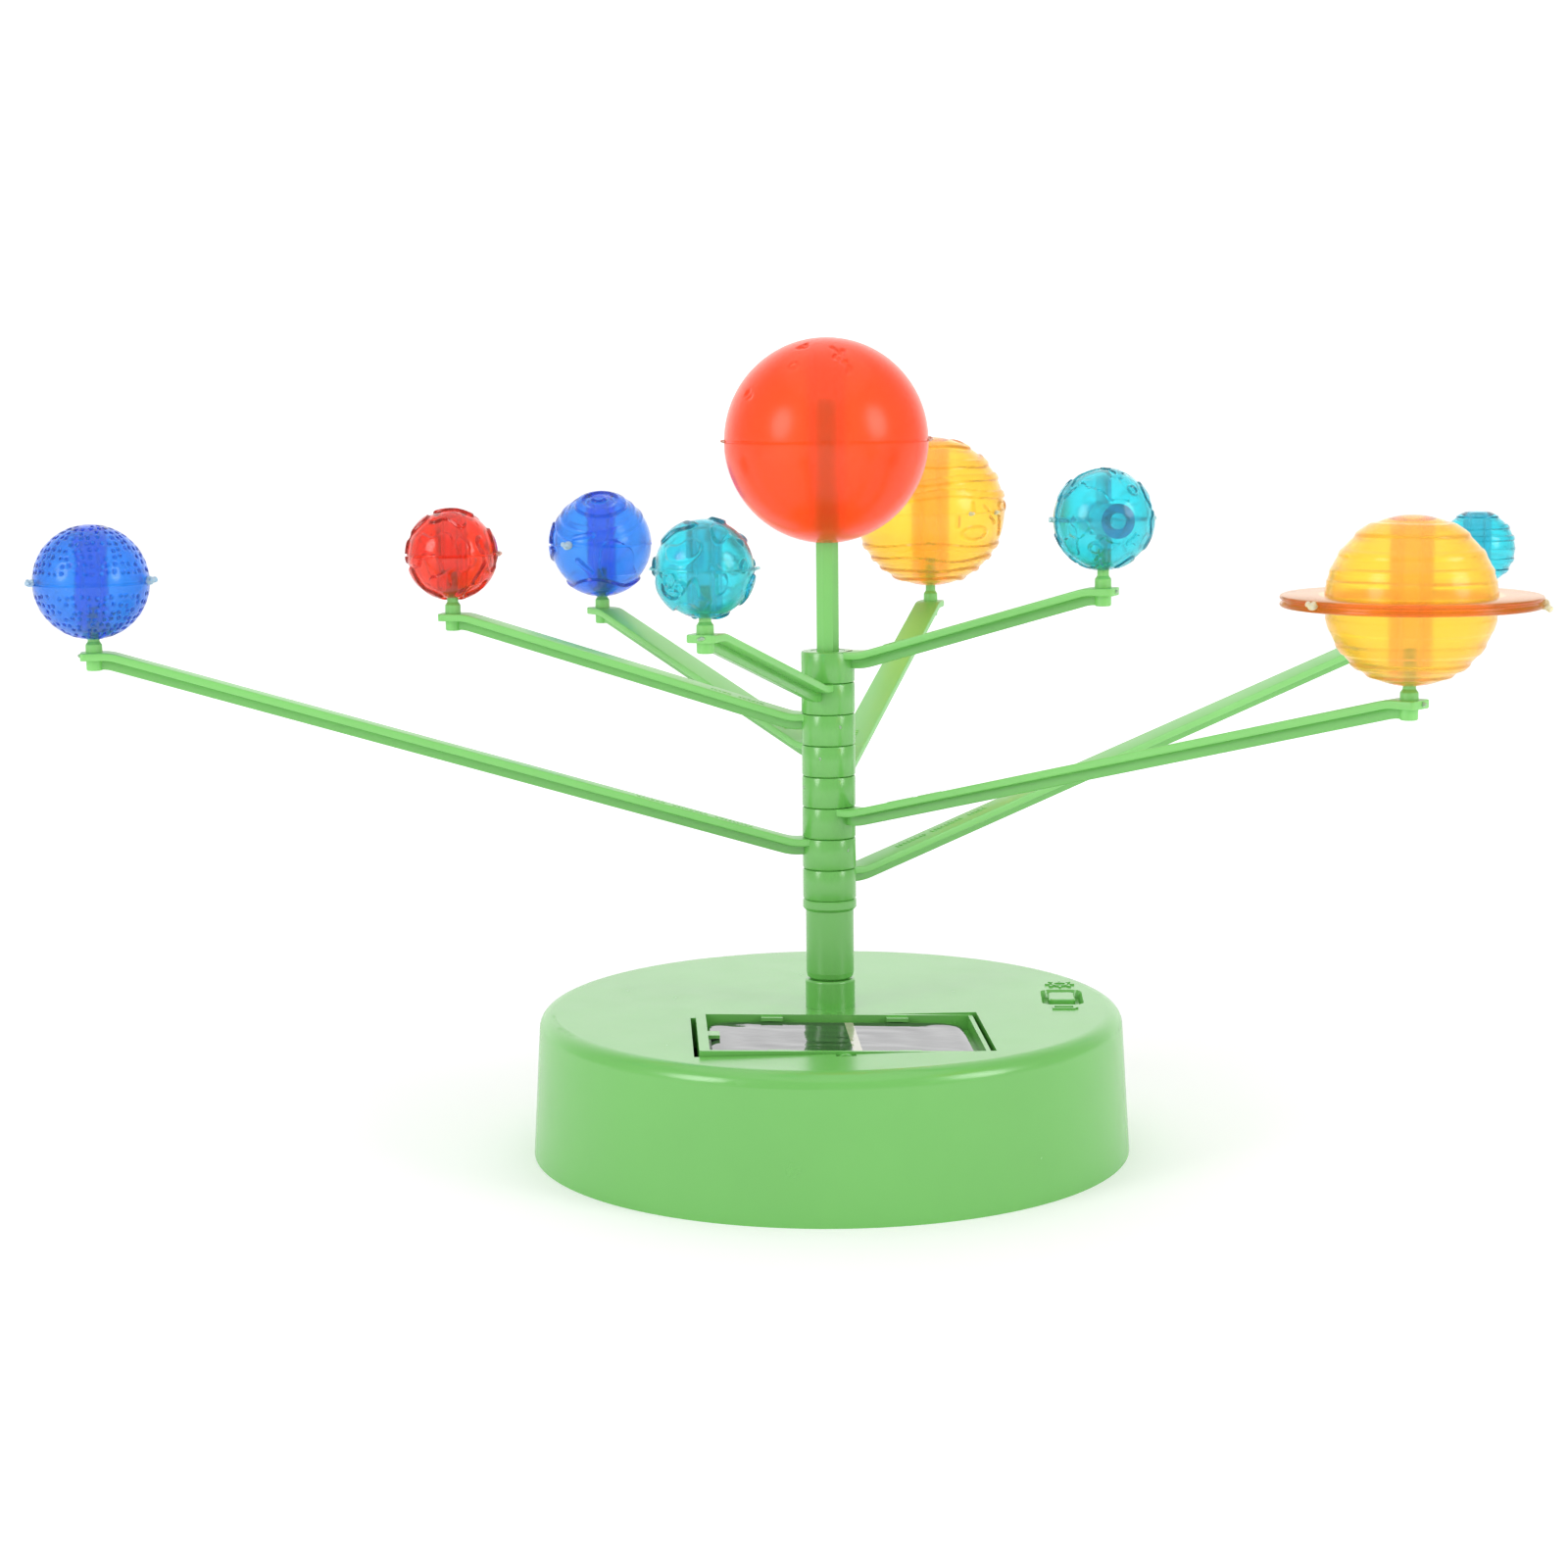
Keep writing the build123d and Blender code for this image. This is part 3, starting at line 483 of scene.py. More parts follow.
def tinted_clear(name, colour, look, wall, ring=None):
    """Tinted see-through plastic, which absorbs light by the distance that light goes inside it.

    look is how much light passes, the roughness, its spread, and a glow that stands for the light
    scattered inside the walls. The skin has the colour to the power 0.6. Inside, the absorption
    is -0.8 ln(colour) / wall, so edges and tubes are deeper. Where the relief is steep the skin is
    painted darker, a painted shade along the flanks of the relief. ring is a middle, a radius and
    a colour: further than that from the upright line through the middle the skin takes that colour.
    """
    clarity, roughness, spread, glow = look
    finish = Finish(name)
    flow = finish.noise(90, 3)
    ripples = finish.noise(420, 2)
    steep = finish.node("ShaderNodeAttribute", {"attribute_name": "steepness"}, {}, "Fac")
    skin = [c ** 0.6 for c in colour]
    tint = finish.mix(flow, opaque(skin, 0.95), opaque(skin, 1.0))
    if ring:
        middle, reach, far_colour = ring
        arm = finish.node("ShaderNodeVectorMath", {"operation": "SUBTRACT"}, {0: finish.place(), 1: middle})
        flat = finish.node("ShaderNodeVectorMath", {"operation": "MULTIPLY"}, {0: arm, 1: (1, 1, 0)})
        away = finish.node("ShaderNodeVectorMath", {"operation": "LENGTH"}, {0: flat}, "Value")
        tint = finish.mix(finish.ramp(away, reach, reach + 0.0008), tint, opaque(far_colour))
    # painted shade: where the relief is steep the skin is mixed towards a deeper, darker colour, so the flanks of
    # the relief show as dark lines
    tint = finish.mix(0.75 * finish.ramp(steep, 0.15, 0.9), tint, opaque([c ** 2.0 for c in colour], 0.7))
    absorbed = [-0.8 * math.log(max(c, 0.004)) / wall for c in colour]
    most = max(absorbed)
    hue = opaque([1 - a / most for a in absorbed])
    medium = finish.node("ShaderNodeVolumeAbsorption", {}, {"Color": hue, "Density": most})
    finish.give(finish.tree.nodes["Material Output"].inputs["Volume"], medium)
    finish.set(
        base_color=tint,
        roughness=roughness + spread * flow,
        transmission_weight=clarity,
        ior=1.5 - 0.6 * roughness,
        emission_color=opaque([c ** 1.5 for c in colour]),
        emission_strength=glow,
        normal=finish.bump(ripples, 0.06, 0.0001),
    )
    return finish.material


def stressed(name, colour):
    """Whitened plastic where a sprue was torn off."""
    finish = Finish(name)
    cloud = finish.noise(900, 4)
    finish.set(
        base_color=finish.mix(cloud, opaque(colour), (0.9, 0.92, 0.9, 1.0)),
        roughness=0.35 + 0.3 * cloud,
        transmission_weight=0.35,
        normal=finish.bump(cloud, 0.5, 0.0002),
    )
    return finish.material


def metal(name, colour, roughness):
    """Bare metal with a fine grain and a few dull patches."""
    finish = Finish(name)
    lines = finish.noise(1800, 2)
    patches = finish.noise(200, 3)
    finish.set(
        base_color=finish.mix(patches, opaque(colour, 0.85), opaque(colour)),
        metallic=1.0,
        roughness=roughness + 0.15 * patches,
        normal=finish.bump(lines, 0.08, 0.00004),
    )
    return finish.material


def plain_plastic(name, colour, roughness):
    """Matt plastic with a slight mottle and grain."""
    finish = Finish(name)
    mottle = finish.noise(260, 3)
    grain = finish.noise(3200, 2)
    finish.set(
        base_color=finish.mix(mottle, opaque(colour, 0.85), opaque(colour, 1.1)),
        roughness=roughness + 0.12 * mottle,
        normal=finish.bump(grain, 0.12, 0.00005),
    )
    return finish.material


def cell_wrap(name):
    """A dry cell's film: dark body, a plain copper-coloured band towards the positive end."""
    finish = Finish(name)
    along = finish.node("ShaderNodeSeparateXYZ", {}, {0: finish.place()}, 0)
    band = along > 0.011
    mottle = finish.noise(300, 2)
    finish.set(
        base_color=finish.mix(band, (0.03, 0.03, 0.035, 1), (0.62, 0.30, 0.10, 1)),
        metallic=0.6 * band,
        roughness=0.25 + 0.1 * mottle,
    )
    return finish.material


def solar_epoxy(name, strip_x, strip_half, colour, strip_colour):
    """A dark cell under clear epoxy, with one pale collector strip across it."""
    finish = Finish(name)
    across = finish.node("ShaderNodeSeparateXYZ", {}, {0: finish.place()}, 0)
    strip = abs(across - strip_x) < strip_half
    crystal = finish.noise(700, 4)
    cloud = finish.noise(60, 3)
    finish.set(
        base_color=finish.mix(strip, finish.mix(crystal, opaque(colour, 0.7), opaque(colour, 1.3)),
                              opaque(strip_colour)),
        roughness=0.03 + 0.05 * cloud,
        coat_weight=0.35,
        coat_roughness=0.03,
        normal=finish.bump(cloud, 0.25, 0.0008),
    )
    return finish.material


def floor_paint(name, colour):
    """A pale matt floor, lit a little from below away from the object, as a light table is."""
    finish = Finish(name)
    cloud = finish.noise(3, 2)
    away = finish.node("ShaderNodeVectorMath", {"operation": "LENGTH"}, {0: finish.place()}, "Value")
    finish.set(
        base_color=finish.mix(cloud, opaque(colour, 0.99), opaque(colour)),
        roughness=0.9 + 0.02 * cloud,
        specular_ior_level=0.0,
        emission_color=finish.mix(finish.ramp(away, 0.1, 0.8), (0.14, 0.14, 0.14, 1), (0.40, 0.40, 0.40, 1)),
        emission_strength=1.0,
    )
    return finish.material


# ------------------------------------------------------------------ sizes and colours
class OrreryColours(bpy.types.PropertyGroup):
    """Colours of the moulded parts, linear."""

    green: FloatVectorProperty(name="Green", description="Base, column and arms", subtype="COLOR",
                               size=3, min=0, max=1, default=(0.150, 0.500, 0.094))
    # painted light: a lighter copy of the green that stands in for top-front light on the thin plates and light
    # shining through them
    thin_green: FloatVectorProperty(name="Painted lit green", description="Thin arm plates and sun post",
                                    subtype="COLOR", size=3, min=0, max=1, default=(0.205, 0.620, 0.135))
    sun: FloatVectorProperty(name="Sun", description="Frosted sun", subtype="COLOR",
                             size=3, min=0, max=1, default=(0.975, 0.34, 0.06))
    teal: FloatVectorProperty(name="Teal", description="First, second and eighth planet", subtype="COLOR",
                              size=3, min=0, max=1, default=(0.26, 0.905, 0.95))
    red: FloatVectorProperty(name="Red", description="Third planet", subtype="COLOR",
                             size=3, min=0, max=1, default=(0.965, 0.29, 0.15))
    royal: FloatVectorProperty(name="Royal blue", description="Fourth planet", subtype="COLOR",
                               size=3, min=0, max=1, default=(0.28, 0.66, 0.99))
    blue: FloatVectorProperty(name="Blue", description="Seventh planet", subtype="COLOR",
                              size=3, min=0, max=1, default=(0.24, 0.665, 0.985))
    amber: FloatVectorProperty(name="Amber", description="Fifth and sixth planet", subtype="COLOR",
                               size=3, min=0, max=1, default=(0.99, 0.845, 0.26))
    ring: FloatVectorProperty(name="Ring", description="Ring of the sixth planet", subtype="COLOR",
                              size=3, min=0, max=1, default=(0.74, 0.34, 0.02))


class OrrerySizes(bpy.types.PropertyGroup):
    """Sizes of the moulded detail, in metres."""

    relief: FloatProperty(name="Relief", description="Height of the raised pattern on a planet",
                          unit="LENGTH", default=0.55 * MM, min=0.1 * MM, max=1.5 * MM)
    wall: FloatProperty(name="Shell wall", description="Wall of a planet's half shell",
                        unit="LENGTH", default=1.2 * MM, min=0.5 * MM, max=3 * MM)
    tube: FloatProperty(name="Tube radius", description="Outside of the tube inside a planet",
                        unit="LENGTH", default=3.7 * MM, min=2 * MM, max=5 * MM)
    bore: FloatProperty(name="Bore radius", description="Hole for the peg",
                        unit="LENGTH", default=1.7 * MM, min=0.5 * MM, max=1.9 * MM)
    arm_width: FloatProperty(name="Arm width", description="Width of an arm's plate",
                             unit="LENGTH", default=6.6 * MM, min=3 * MM, max=12 * MM)
    arm_plate: FloatProperty(name="Arm plate", description="Thickness of an arm's plate",
                             unit="LENGTH", default=1.7 * MM, min=0.8 * MM, max=3 * MM)
    rib_depth: FloatProperty(name="Rib depth", description="Depth of the rib under the plate",
                             unit="LENGTH", default=2.2 * MM, min=0.5 * MM, max=5 * MM)
    columns: IntProperty(name="Columns", description="Faces round a planet", default=256, min=32, max=360)


# ------------------------------------------------------------------ half shells
def half_profile(radius, wall, tube, bore, top, ring=None):
    """Rows of a half shell's section from the outside of the pole round to the tube's bore.

    Returns (radius, height, relief share) rows for the upper half: the outer quarter circle from
    the pole, an optional flat ring with a rounded rim, the seam face, the inner quarter circle,
    then the tube down to the seam and its blind bore. A lower half is the same with its heights
    negated, and starts at the bore instead of the pole.
    """
    seam, lip_half = 0.012, 0.32
    outer_end = math.asin((ring[1] if ring else lip_half) / radius)
    start = 0.0 if top else math.asin(bore / radius)
    t = np.linspace(start, np.pi / 2 - outer_end, 88)
    rows = [np.column_stack([radius * np.sin(t), radius * np.cos(t), np.ones_like(t)])]
    if ring:
        rim, half = ring
        rows.append([(radius + 0.25, half, 0), (rim - 0.5, half, 0), (rim - 0.15, half - 0.15, 0),
                     (rim, half - 0.45, 0), (rim - 0.05, 0.42, 0), (rim - 0.45, 0.22, 0),
                     (rim - 0.5, seam, 0)])
    else:
        lip = radius + 0.2
        rows.append([(lip - 0.04, 0.3, 0), (lip, 0.16, 0), (lip - 0.08, seam, 0)])
    inner = radius - wall
    t = np.linspace(np.pi / 2 - math.asin(seam / inner), math.asin(tube / inner), 26)
    rows.append(np.column_stack([inner * np.sin(t), inner * np.cos(t), 0 * t]))
    rows.append([(tube, inner * 0.6, 0), (tube, 0.6, 0), (tube - 0.1, seam, 0), (bore, seam, 0)])
    if top:
        rows.append([(bore, inner * 0.5, 0), (bore, inner - 1.0, 0), (0, inner - 0.8, 0)])
    else:
        rows.append([(bore, inner * 0.5, 0), (bore, radius - 0.3, 0)])
    return np.vstack([np.asarray(r, float) for r in rows])


def half_shell(radius, relief, pattern, wall, tube, bore, top, columns, ring=None, sunk=0.45):
    """Carries a half profile round the pole and lifts its outer rows by the relief pattern.

    A point at section radius r, height h and relief share s goes to (r, h)(1 + s H / R) at each
    heading, where H is the pattern's height times the relief and R the shell's radius, which is
    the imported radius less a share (sunk) of the relief. Its steepness is the length of H's gradient.
    """
    base = radius - sunk * relief
    profile = half_profile(base, wall, tube, bore, top, ring)
    sign = 1 if top else -1
    a = np.linspace(0, 2 * np.pi, columns, endpoint=False)
    r, h, s = (profile[:, k : k + 1] for k in range(3))
    grid = np.stack([r * np.cos(a), r * np.sin(a), sign * h + 0 * a], -1)
    length = np.maximum(np.linalg.norm(grid, axis=-1, keepdims=True), 1e-9)
    height = relief * pattern(grid / length)
    row_step = np.maximum(np.linalg.norm(np.gradient(profile[:, :2], axis=0), axis=1, keepdims=True), 0.01)
    column_step = np.maximum(r * a[1], 0.05)
    around = (np.roll(height, -1, 1) - np.roll(height, 1, 1)) / 2 / column_step
    steepness = s * np.hypot(np.gradient(height, axis=0) / row_step, around)
    lift = 1 + s * height / base
    return grid_shell(np.concatenate([grid * lift[..., None], steepness[..., None]], -1), not top, top, top)


def cross_ribs(radius, tube):
    """Four thin walls from the tube to the shell, each a rounded bar, in the seam's frame."""
    length = radius - tube - 1.0
    bars = []
    for turn in range(4):
        c, s = math.cos(turn * math.pi / 2), math.sin(turn * math.pi / 2)
        axes = np.array([[c, s, 0], [-s, c, 0], [0, 0, 1]])
        middle = (tube + length / 2 - 0.2) * axes[0] + np.array([0, 0, -radius * 0.35])
        bars.append(block((length, 0.9, radius * 0.7), 0.3, middle, axes))
    return bars


# each planet: its relief, its tint, its share of the relief height, how much of that is sunk below
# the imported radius, and its torn sprues as (heading, size, drop)
planet_designs = {
    1: (craggy_islands, "teal", 0.62, 0.3, ((8, 0.9, 0), (188, 1.2, 0))),
    2: (blobs_and_craters, "teal", 1.1, 0.4, ((-8, 0.8, 0), (172, 0.8, 0))),
    3: (upright_shards, "red", 1.05, 0.5, ((-4, 1.0, 0),)),
    4: (storm_swirls, "royal", 1.3, 0.5, ((-128, 1.8, 0), (30, 0.7, 0))),
    5: (wavy_belts, "amber", 0.9, 0.4, ((-64, 1.0, 0), (-37, 1.0, 0))),
    6: (stepped_belts, "amber", 0.7, 0.4, ((209, 1.6, 0), (-22, 1.5, 1.6))),
    7: (dimple_rows, "blue", 0.8, 1.0, ((-8, 1.6, -0.3), (202, 1.5, -0.2))),
    8: (even_belts, "teal", 0.6, 1.0, ((20, 0.8, 0), (200, 0.8, 0))),
}
slot_names = {"teal": "teal", "red": "red", "royal": "royal_blue", "amber": "amber", "blue": "blue"}
# how much light passes, the roughness, its spread and the glow
tint_looks = {
    "teal": (0.94, 0.15, 0.03, 0.02),
    "red": (0.94, 0.11, 0.03, 0.04),
    "royal": (0.93, 0.17, 0.03, 0.02),
    "amber": (0.92, 0.20, 0.03, 0.08),
    "blue": (0.93, 0.17, 0.03, 0.02),
}
ring_planet, upright_planet = 6, 1
seam_heading = math.radians(-79.5)


def ball_place(upper, lower):
    """Centre and radius of a ball from its two packed halves."""
    low = np.minimum(node_box(upper)[0], node_box(lower)[0])
    high = np.maximum(node_box(upper)[1], node_box(lower)[1])
    return (low[2] + high[2]) / 2, (high[2] - low[2]) / 2


def sprues(radius, stub_list, seed):
    """Torn stubs on the seam, each a root and two ragged tips, at a heading, of a size, and dropped."""
    stubs = []
    for turn, (heading, size, drop) in enumerate(stub_list):
        angle = math.radians(heading)
        out = np.array([math.cos(angle), math.sin(angle), 0])
        aside = np.array([-math.sin(angle), math.cos(angle), 0])
        for step, shift, bulk in ((0.25, 0.0, 0.72), (0.85, 0.30, 0.50), (0.70, -0.42, 0.42)):
            middle = out * (radius + step * size) + aside * shift * size
            middle[2] += 0.2 * size * step - drop * step - 0.3 * shift * size
            lump = np.array((0.85, 0.85, 0.8)) * bulk * size
            stubs.append(nub(middle, lump, seed + 10 * turn + int(4 * step)))
    return stubs


# ------------------------------------------------------------------ arms
def bent_path(corners, reach=1.6, steps=6):
    """A path through corner points: each inner corner becomes a quadratic curve of that reach."""
    corners = np.asarray(corners, float)
    path = [corners[:1]]
    t = np.linspace(0, 1, steps)[:, None]
    for before, corner, after in zip(corners, corners[1:], corners[2:]):
        a = corner + unit(before - corner) * reach
        b = corner + unit(after - corner) * reach
        path.append((1 - t) ** 2 * a + 2 * t * (1 - t) * corner + t ** 2 * b)
    path.append(corners[-1:])
    return np.vstack(path)


def ribbon(path, half_width, thickness, drop, corner, rounded_end=0.0):
    """A rounded section carried along a path in the upright plane, its top at the path less drop.

    At each path point the section stands square to the path: point = path + up * v + across * u.
    The last millimetre narrows as a quarter circle where the end is rounded in plan.
    """
    if rounded_end:
        t = np.sin(np.linspace(0, np.pi / 2, 6))[:, None]
        last = path[-1] - unit(path[-1] - path[-2]) * rounded_end
        path = np.vstack([path[:-1], last + t * (path[-1] - last)])
    run = unit(np.gradient(path, axis=0))
    up = np.column_stack([-run[:, 1], run[:, 0]])
    section = rounded_outline(2 * half_width, thickness, corner, 4)
    narrow = np.ones(len(path))
    if rounded_end:
        back = np.linspace(0, np.pi / 2, 6)
        narrow[-6:] = (half_width - rounded_end + rounded_end * np.cos(back)) / half_width
    u = section[None, :, 0] * narrow[:, None]
    v = section[None, :, 1] - thickness / 2 - drop + 0 * u
    grid = np.stack([path[:, None, 0] + up[:, None, 0] * v, u, path[:, None, 1] + up[:, None, 1] * v], -1)
    return capped_sweep(grid)


def raised_bars(path, start, seed, groups):
    """Rows of small raised bars along the top of an arm, in groups, where plain marks are moulded."""
    pick = np.random.default_rng(seed)
    along = unit(path[-4] - path[len(path) // 2 - 1])
    bend = path[6]
    up = np.array([-along[1], along[0]])
    axes = np.array([[along[0], 0, along[1]], [0, 1, 0], [up[0], 0, up[1]]])
    bars, at = [], start
    for count in groups:
        for _ in range(count):
            wide = pick.uniform(0.45, 1.0)
            spot = bend + along * (at + wide / 2) - up * 0.05
            tall = pick.choice([1.5, 1.5, 1.1])
            bars.append(block((wide, tall, 0.22), 0.12, (spot[0], 0.6, spot[1]), axes))
            at += wide + 0.35
        at += 1.6
    return bars


def arm_shells(number, sizes, pad_height):
    """One arm in its own upright plane, x outward: plate, rib, hub, boss, two stubs and raised marks."""
    reach, _ = peg_place(number)
    low, high = node_box(f"arm_{number}")
    pitch, hub_bore, hub_radius, boss_radius, peg_radius = 7.2, 4.05, 6.19, 1.85, 1.3
    ring_low, ring_high = low[2], low[2] + pitch
    peg_top = high[2]
    width, plate, rib = sizes.arm_width / MM, sizes.arm_plate / MM, sizes.rib_depth / MM
    planet_height, planet_radius = ball_place(*planet_halves(number))
    boss_top = min(pad_height + 2.6, planet_height - planet_radius - 0.5)
    root = (5.0, ring_high)
    path = bent_path([root, (8.5, ring_high), (reach - 3.6, pad_height), (reach + 2.95, pad_height)])
    rib_path = bent_path([root, (8.7, ring_high), (reach - 3.4, pad_height), (reach, pad_height)])
    boss_low = pad_height - plate - 2.35
    hub = [(hub_bore, ring_low), (hub_radius - 0.44, ring_low), (hub_radius - 0.14, ring_low + 0.12),
           (hub_radius, ring_low + 0.42), (hub_radius, ring_high - 0.42),
           (hub_radius - 0.14, ring_high - 0.12), (hub_radius - 0.44, ring_high), (hub_bore, ring_high)]
    boss = [(0, boss_low), (boss_radius - 0.25, boss_low), (boss_radius - 0.03, boss_low + 0.22),
            (boss_radius, pad_height), (boss_radius - 0.03, boss_top - 0.62),
            (boss_radius - 0.13, boss_top - 0.5), (peg_radius + 0.08, boss_top),
            (peg_radius, boss_top + 0.1), (peg_radius, peg_top - 0.3), (peg_radius - 0.3, peg_top),
            (0, peg_top)]
    shells = [
        # finish 2 is the lighter green, painted light on the plate, boss and raised bars; the rib and hub keep the
        # plain green, so they read as shaded
        (ribbon(path, width / 2, plate, 0.0, 0.28, 1.0), 2),
        (ribbon(rib_path, 0.75, rib + 0.3, plate - 0.3, 0.2), 0),
        (lathe(hub, 72, True), 0),
        (lathe(boss, 32, False, (reach, 0, 0)), 2),
        (nub((reach + 3.1, 0.3, pad_height - 0.8), (0.5, 0.7, 0.45), number), 1),
        (nub((5.95 * math.cos(2.2), 5.95 * math.sin(2.2), ring_low + 4.6), (0.4, 0.4, 0.5), number + 20), 1),
    ]
    bars = raised_bars(path, 3.0 + number * 0.8, 40 + number, bar_groups[number])
    shells += [(bar, 2) for bar in bars]
    return shells


def planet_halves(number):
    """Names of a planet's two packed halves."""
    if number == upright_planet:
        return "planet_1_front_shell", "planet_1_back_shell"
    return f"planet_{number}_upper_shell", f"planet_{number}_lower_shell"


# height of each arm's flat end, and how many raised bars stand in each group along it
pad_heights = {1: 132.9, 2: 127.2, 3: 125.1, 4: 120.9, 5: 119.2, 6: 116.0, 7: 120.7, 8: 120.3}
bar_groups = {1: (5,), 2: (5,), 3: (6, 5), 4: (6, 6), 5: (5, 7), 6: (7, 6), 7: (9, 8, 6), 8: (8, 9, 5)}


# ------------------------------------------------------------------ operators
class ORRERY_OT_finishes(bpy.types.Operator):
    """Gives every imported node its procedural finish"""

    bl_idname = "orrery.finishes"
    bl_label = "Finishes"

    def execute(self, context):
        colours = context.scene.orrery_colours
        green = moulded_green("moulded green", colours.green)
        # the second, lighter green is painted light: a lit copy of the same moulded plastic
        thin_green = moulded_green("thin green", colours.thin_green, 0.33)
        steel = metal("drawn steel", (0.62, 0.62, 0.63), 0.28)
        nickel = metal("nickel", (0.75, 0.74, 0.70), 0.18)
        acetal = plain_plastic("gear acetal", (0.80, 0.78, 0.70), 0.42)
        black = plain_plastic("gearbox black", (0.03, 0.03, 0.035), 0.5)
        by_slot = {
            "green_plastic": green,
            "screw_steel": steel,
            "motor_steel": steel,
            "axle_steel": steel,
            "contact_metal": nickel,
            "gear_plastic": acetal,
            "gearbox_plastic": black,
            "switch_black": black,
            "cell_label": cell_wrap("cell wrap"),
        }
        slots = {part["node"]: part["material_slot"] for part in frame["record"]["subparts"]}
        for name, node in frame["nodes"].items():
            # the sun post takes the lighter green, a painted lit copy of the plastic
            finish = thin_green if name == "sun_post" else by_slot.get(slots[name], green)
            node.data.materials.clear()
            node.data.materials.append(finish)
        return {"FINISHED"}


class ORRERY_OT_arms(bpy.types.Operator):
    """Builds the eight moulded arms"""

    bl_idname = "orrery.arms"
    bl_label = "Arms"

    def execute(self, context):
        sizes = context.scene.orrery_sizes
        colours = context.scene.orrery_colours
        finishes = [bpy.data.materials["moulded green"], stressed("green stress mark", colours.green),
                    bpy.data.materials["thin green"]]
        for number, pad_height in pad_heights.items():
            heading = peg_place(number)[1]
            shells = [(turned(s, heading), tone) for s, tone in arm_shells(number, sizes, pad_height)]
            make_piece(f"moulded_arm_{number}", shells, finishes, f"arm_{number}_body",
                       [f"arm_{number}"])
        return {"FINISHED"}


class ORRERY_OT_planets(bpy.types.Operator):
    """Builds the hollow planets with their relief, tubes, seams and sprue stubs"""

    bl_idname = "orrery.planets"
    bl_label = "Planets"

    def execute(self, context):
        sizes = context.scene.orrery_sizes
        colours = context.scene.orrery_colours
        relief, wall, tube, bore = (getattr(sizes, k) / MM for k in ("relief", "wall", "tube", "bore"))
        marks = {key: stressed(f"{key} stress mark", getattr(colours, key)) for key in slot_names}
        for number, (pattern, tint, share, sunk, stub_list) in planet_designs.items():
            reach, heading = peg_place(number)
            height, radius = ball_place(*planet_halves(number))
            centre = (reach * math.cos(heading), reach * math.sin(heading), height)
            lean, turn = (math.pi / 2, seam_heading) if number == upright_planet else (0.0, 0.0)
            ring, far_tint = None, None
            if number == ring_planet:
                low, high = node_box("planet_6_upper_shell")
                ring = ((high[1] - low[1]) / 2, 1.2)
                far_tint = ([c * MM for c in centre], (radius + 0.6) * MM, colours.ring)
            clear = tinted_clear(f"planet {number} clear", getattr(colours, tint), tint_looks[tint],
                                 sizes.wall, far_tint)
            seam_radius = ring[0] - 0.5 if ring else radius
            girth = max(tube, 0.25 * radius)
            for top, node in zip((True, False), planet_halves(number)):
                shell = half_shell(radius, relief * share, pattern, wall, girth, bore, top,
                                   sizes.columns, ring, sunk)
                shells = [(turned(shell, turn, centre, lean), 0)]
                if top:
                    stubs = sprues(seam_radius, stub_list, number)
                    shells += [(turned(s, 0.0, centre), 1) for s in stubs]
                if top and number == upright_planet:
                    shells += [(turned(s, turn, centre, lean), 0) for s in cross_ribs(radius, girth)]
                make_piece("moulded_" + node, shells, [clear, marks[tint]],
                           f"planet_{number}_body", [node])
        return {"FINISHED"}


class ORRERY_OT_sun(bpy.types.Operator):
    """Builds the two frosted halves of the sun"""

    bl_idname = "orrery.sun"
    bl_label = "Sun"

    def execute(self, context):
        sizes = context.scene.orrery_sizes
        colours = context.scene.orrery_colours
        names = ("sun_upper_shell", "sun_lower_shell")
        height, radius = ball_place(*names)
        centre = (0, 0, height)
        pit_depth, wall, tube, bore = 0.4, 1.5, 4.4, 2.78
        torn = ((0, 1.0, 0), (180, 0.7, 0))
        frosted = tinted_clear("sun frosted", colours.sun, (0.93, 0.22, 0.05, 0.12), wall * MM)
        mark = stressed("sun stress mark", colours.sun)
        for top, node in zip((True, False), names):
            shell = half_shell(radius, pit_depth, sun_marks, wall, tube, bore, top, sizes.columns, sunk=1.0)
            shells = [(turned(shell, 0.0, centre), 0)]
            if top:
                shells += [(turned(s, 0.0, centre), 1) for s in sprues(radius, torn, 9)]
            make_piece("moulded_" + node, shells, [frosted, mark], "column", [node])
        return {"FINISHED"}


class ORRERY_OT_solar_cell(bpy.types.Operator):
    """Builds the solar cell under its epoxy

    The top is rings of a rounded outline. Its last tenth falls away by t^2.5, and two sines wave it.
    """

    bl_idname = "orrery.solar_cell"
    bl_label = "Solar cell"

    def execute(self, context):
        low, high = node_box("solar_panel")
        tilt = math.radians(1.5)
        middle = (low + high) / 2
        length, depth, thick, corner = 58.0, 33.0, 2.2, 5.0
        outline = rounded_outline(length, depth, corner, 12)
        shares = np.concatenate([np.linspace(0, 0.9, 34), 0.9 + 0.1 * np.sin(np.linspace(0.2, np.pi / 2, 8))])
        edge = (1 - np.clip((shares - 0.9) / 0.1, 0, 1) ** 2.5)
        x, y = shares[:, None] * outline[None, :, 0], shares[:, None] * outline[None, :, 1]
        waves = 0.035 * np.sin(0.55 * x + 0.8 * np.sin(0.35 * y)) + 0.025 * np.sin(0.9 * y + 0.3 * x)
        top = thick / 2 - 0.35 + 0.3 * edge[:, None] + waves * edge[:, None]
        under = np.stack([outline[:, 0], outline[:, 1], np.full(len(outline), -thick / 2)], -1)[None]
        grid = np.concatenate([np.stack([x, y, top], -1), under, under * [0, 0, 1]])
        cell = grid_shell(grid, False, True, True)
        silicon, collector = (0.012, 0.016, 0.02), (0.50, 0.48, 0.36)
        finish = solar_epoxy("epoxy over silicon", 3.2 * MM, 1.0 * MM, silicon, collector)
        make_piece("solar_cell", [(turned(cell, 0.0, middle, tilt), 0)], [finish],
                   "solar_tray", ["solar_panel"])
        return {"FINISHED"}


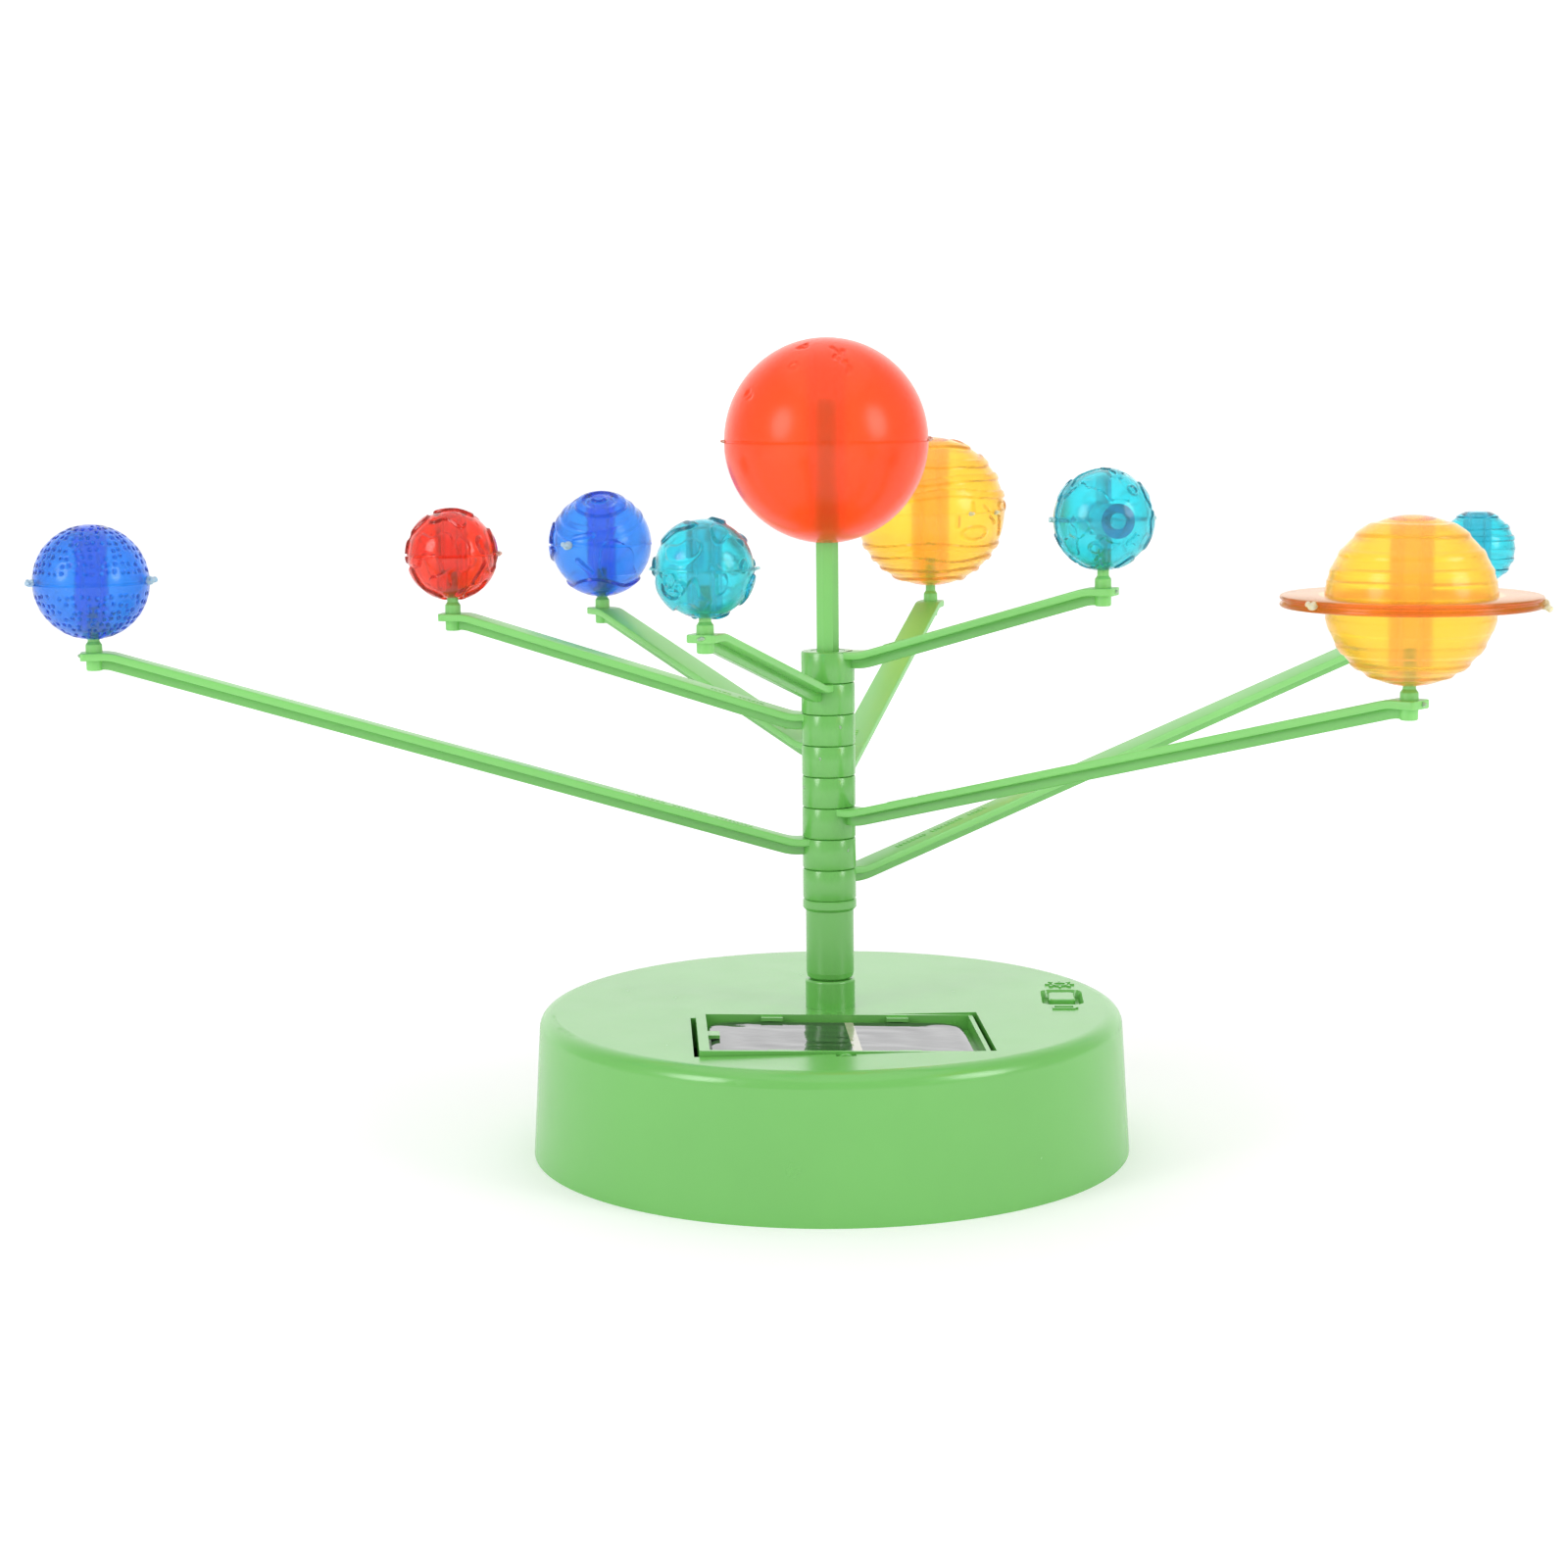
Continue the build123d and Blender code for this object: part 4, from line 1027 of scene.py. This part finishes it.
class ORRERY_OT_studio(bpy.types.Operator):
    """Sets the pale floor, the soft lights and the camera"""

    bl_idname = "orrery.studio"
    bl_label = "Studio"

    def execute(self, context):
        scene = context.scene
        mesh = bpy.data.meshes.new("floor")
        side = 6.0
        corners = [(-side, -side, 0), (side, -side, 0), (side, side, 0), (-side, side, 0)]
        mesh.from_pydata(corners, [], [(0, 1, 2, 3)])
        mesh.materials.append(floor_paint("floor paint", (0.92, 0.92, 0.92)))
        floor = bpy.data.objects.new("floor", mesh)
        scene.collection.objects.link(floor)

        # a white backdrop behind the object, a dimmer room round it, and plain white where it is seen
        world = bpy.data.worlds.new("studio")
        world.use_nodes = True
        nodes = Nodes(world.node_tree)
        way = nodes.node("ShaderNodeTexCoord", {}, {}, "Generated")
        ahead = nodes.node("ShaderNodeSeparateXYZ", {}, {0: way}, "Y")
        around = nodes.ramp(ahead, 0.35, 0.92, 0.60, 1.40)
        seen = nodes.node("ShaderNodeLightPath", {}, {}, "Is Camera Ray")
        nodes.give(world.node_tree.nodes["Background"].inputs["Color"], (1, 1, 1, 1))
        nodes.give(world.node_tree.nodes["Background"].inputs["Strength"], around + seen * (1.40 - around))
        scene.world = world
        lamps = (
            ("left_box", (-0.90, -0.60, 0.50), 0.45, 3.6),
            ("right_box", (0.90, -0.60, 0.50), 0.45, 3.5),
            ("top_box", (0.0, -0.10, 1.30), 1.60, 4.5),
        )
        aim = Vector((0, 0, 0.10))
        for name, place, size, power in lamps:
            light = bpy.data.lights.new(name, "AREA")
            light.shape = "ELLIPSE"
            light.size, light.size_y = size, 1.4 * size
            light.energy = power
            lamp = bpy.data.objects.new(name, light)
            lamp.location = place
            lamp.rotation_mode = "QUATERNION"
            lamp.rotation_quaternion = (aim - Vector(place)).to_track_quat("-Z", "Y")
            scene.collection.objects.link(lamp)

        camera = bpy.data.cameras.new("camera")
        camera.sensor_width, camera.lens = 36.0, 67.5
        camera.clip_start, camera.clip_end = 0.05, 30.0
        stand = bpy.data.objects.new("camera", camera)
        yaw, pitch, roll = (math.radians(v) for v in (2.92, 8.08, -0.56))
        forward = Vector((math.sin(yaw) * math.cos(pitch), math.cos(yaw) * math.cos(pitch), -math.sin(pitch)))
        level = Vector((math.cos(yaw), -math.sin(yaw), 0))
        upward = level.cross(forward)
        right = math.cos(roll) * level + math.sin(roll) * upward
        top = -math.sin(roll) * level + math.cos(roll) * upward
        stand.rotation_mode = "QUATERNION"
        stand.rotation_quaternion = Matrix((right, top, -forward)).transposed().to_quaternion()
        stand.location = (-0.0449, -0.6757, 0.1821)
        scene.collection.objects.link(stand)
        scene.camera = stand
        scene.view_settings.view_transform = "Standard"
        return {"FINISHED"}


class ORRERY_PT_panel(bpy.types.Panel):
    """Lists the build steps with the sizes and colours they use"""

    bl_label = "Orrery"
    bl_idname = "ORRERY_PT_panel"
    bl_space_type = "VIEW_3D"
    bl_region_type = "UI"
    bl_category = "Orrery"

    def draw(self, context):
        for group in (context.scene.orrery_sizes, context.scene.orrery_colours):
            for key in group.__annotations__:
                self.layout.prop(group, key)
        for step in steps:
            self.layout.operator(step.bl_idname)


steps = (ORRERY_OT_studio, ORRERY_OT_finishes, ORRERY_OT_arms, ORRERY_OT_planets,
         ORRERY_OT_sun, ORRERY_OT_solar_cell)
classes = (OrreryColours, OrrerySizes, *steps, ORRERY_PT_panel)


def register():
    """Registers the classes and hangs the settings on the scene."""
    for cls in classes:
        bpy.utils.register_class(cls)
    bpy.types.Scene.orrery_colours = PointerProperty(type=OrreryColours)
    bpy.types.Scene.orrery_sizes = PointerProperty(type=OrrerySizes)


def unregister():
    """Takes the settings off the scene and unregisters the classes."""
    del bpy.types.Scene.orrery_sizes
    del bpy.types.Scene.orrery_colours
    for cls in reversed(classes):
        bpy.utils.unregister_class(cls)


def main():
    """Builds everything in order."""
    register()
    for step in steps:
        group, action = step.bl_idname.split(".")
        getattr(getattr(bpy.ops, group), action)()


if __name__ == "__main__":
    main()
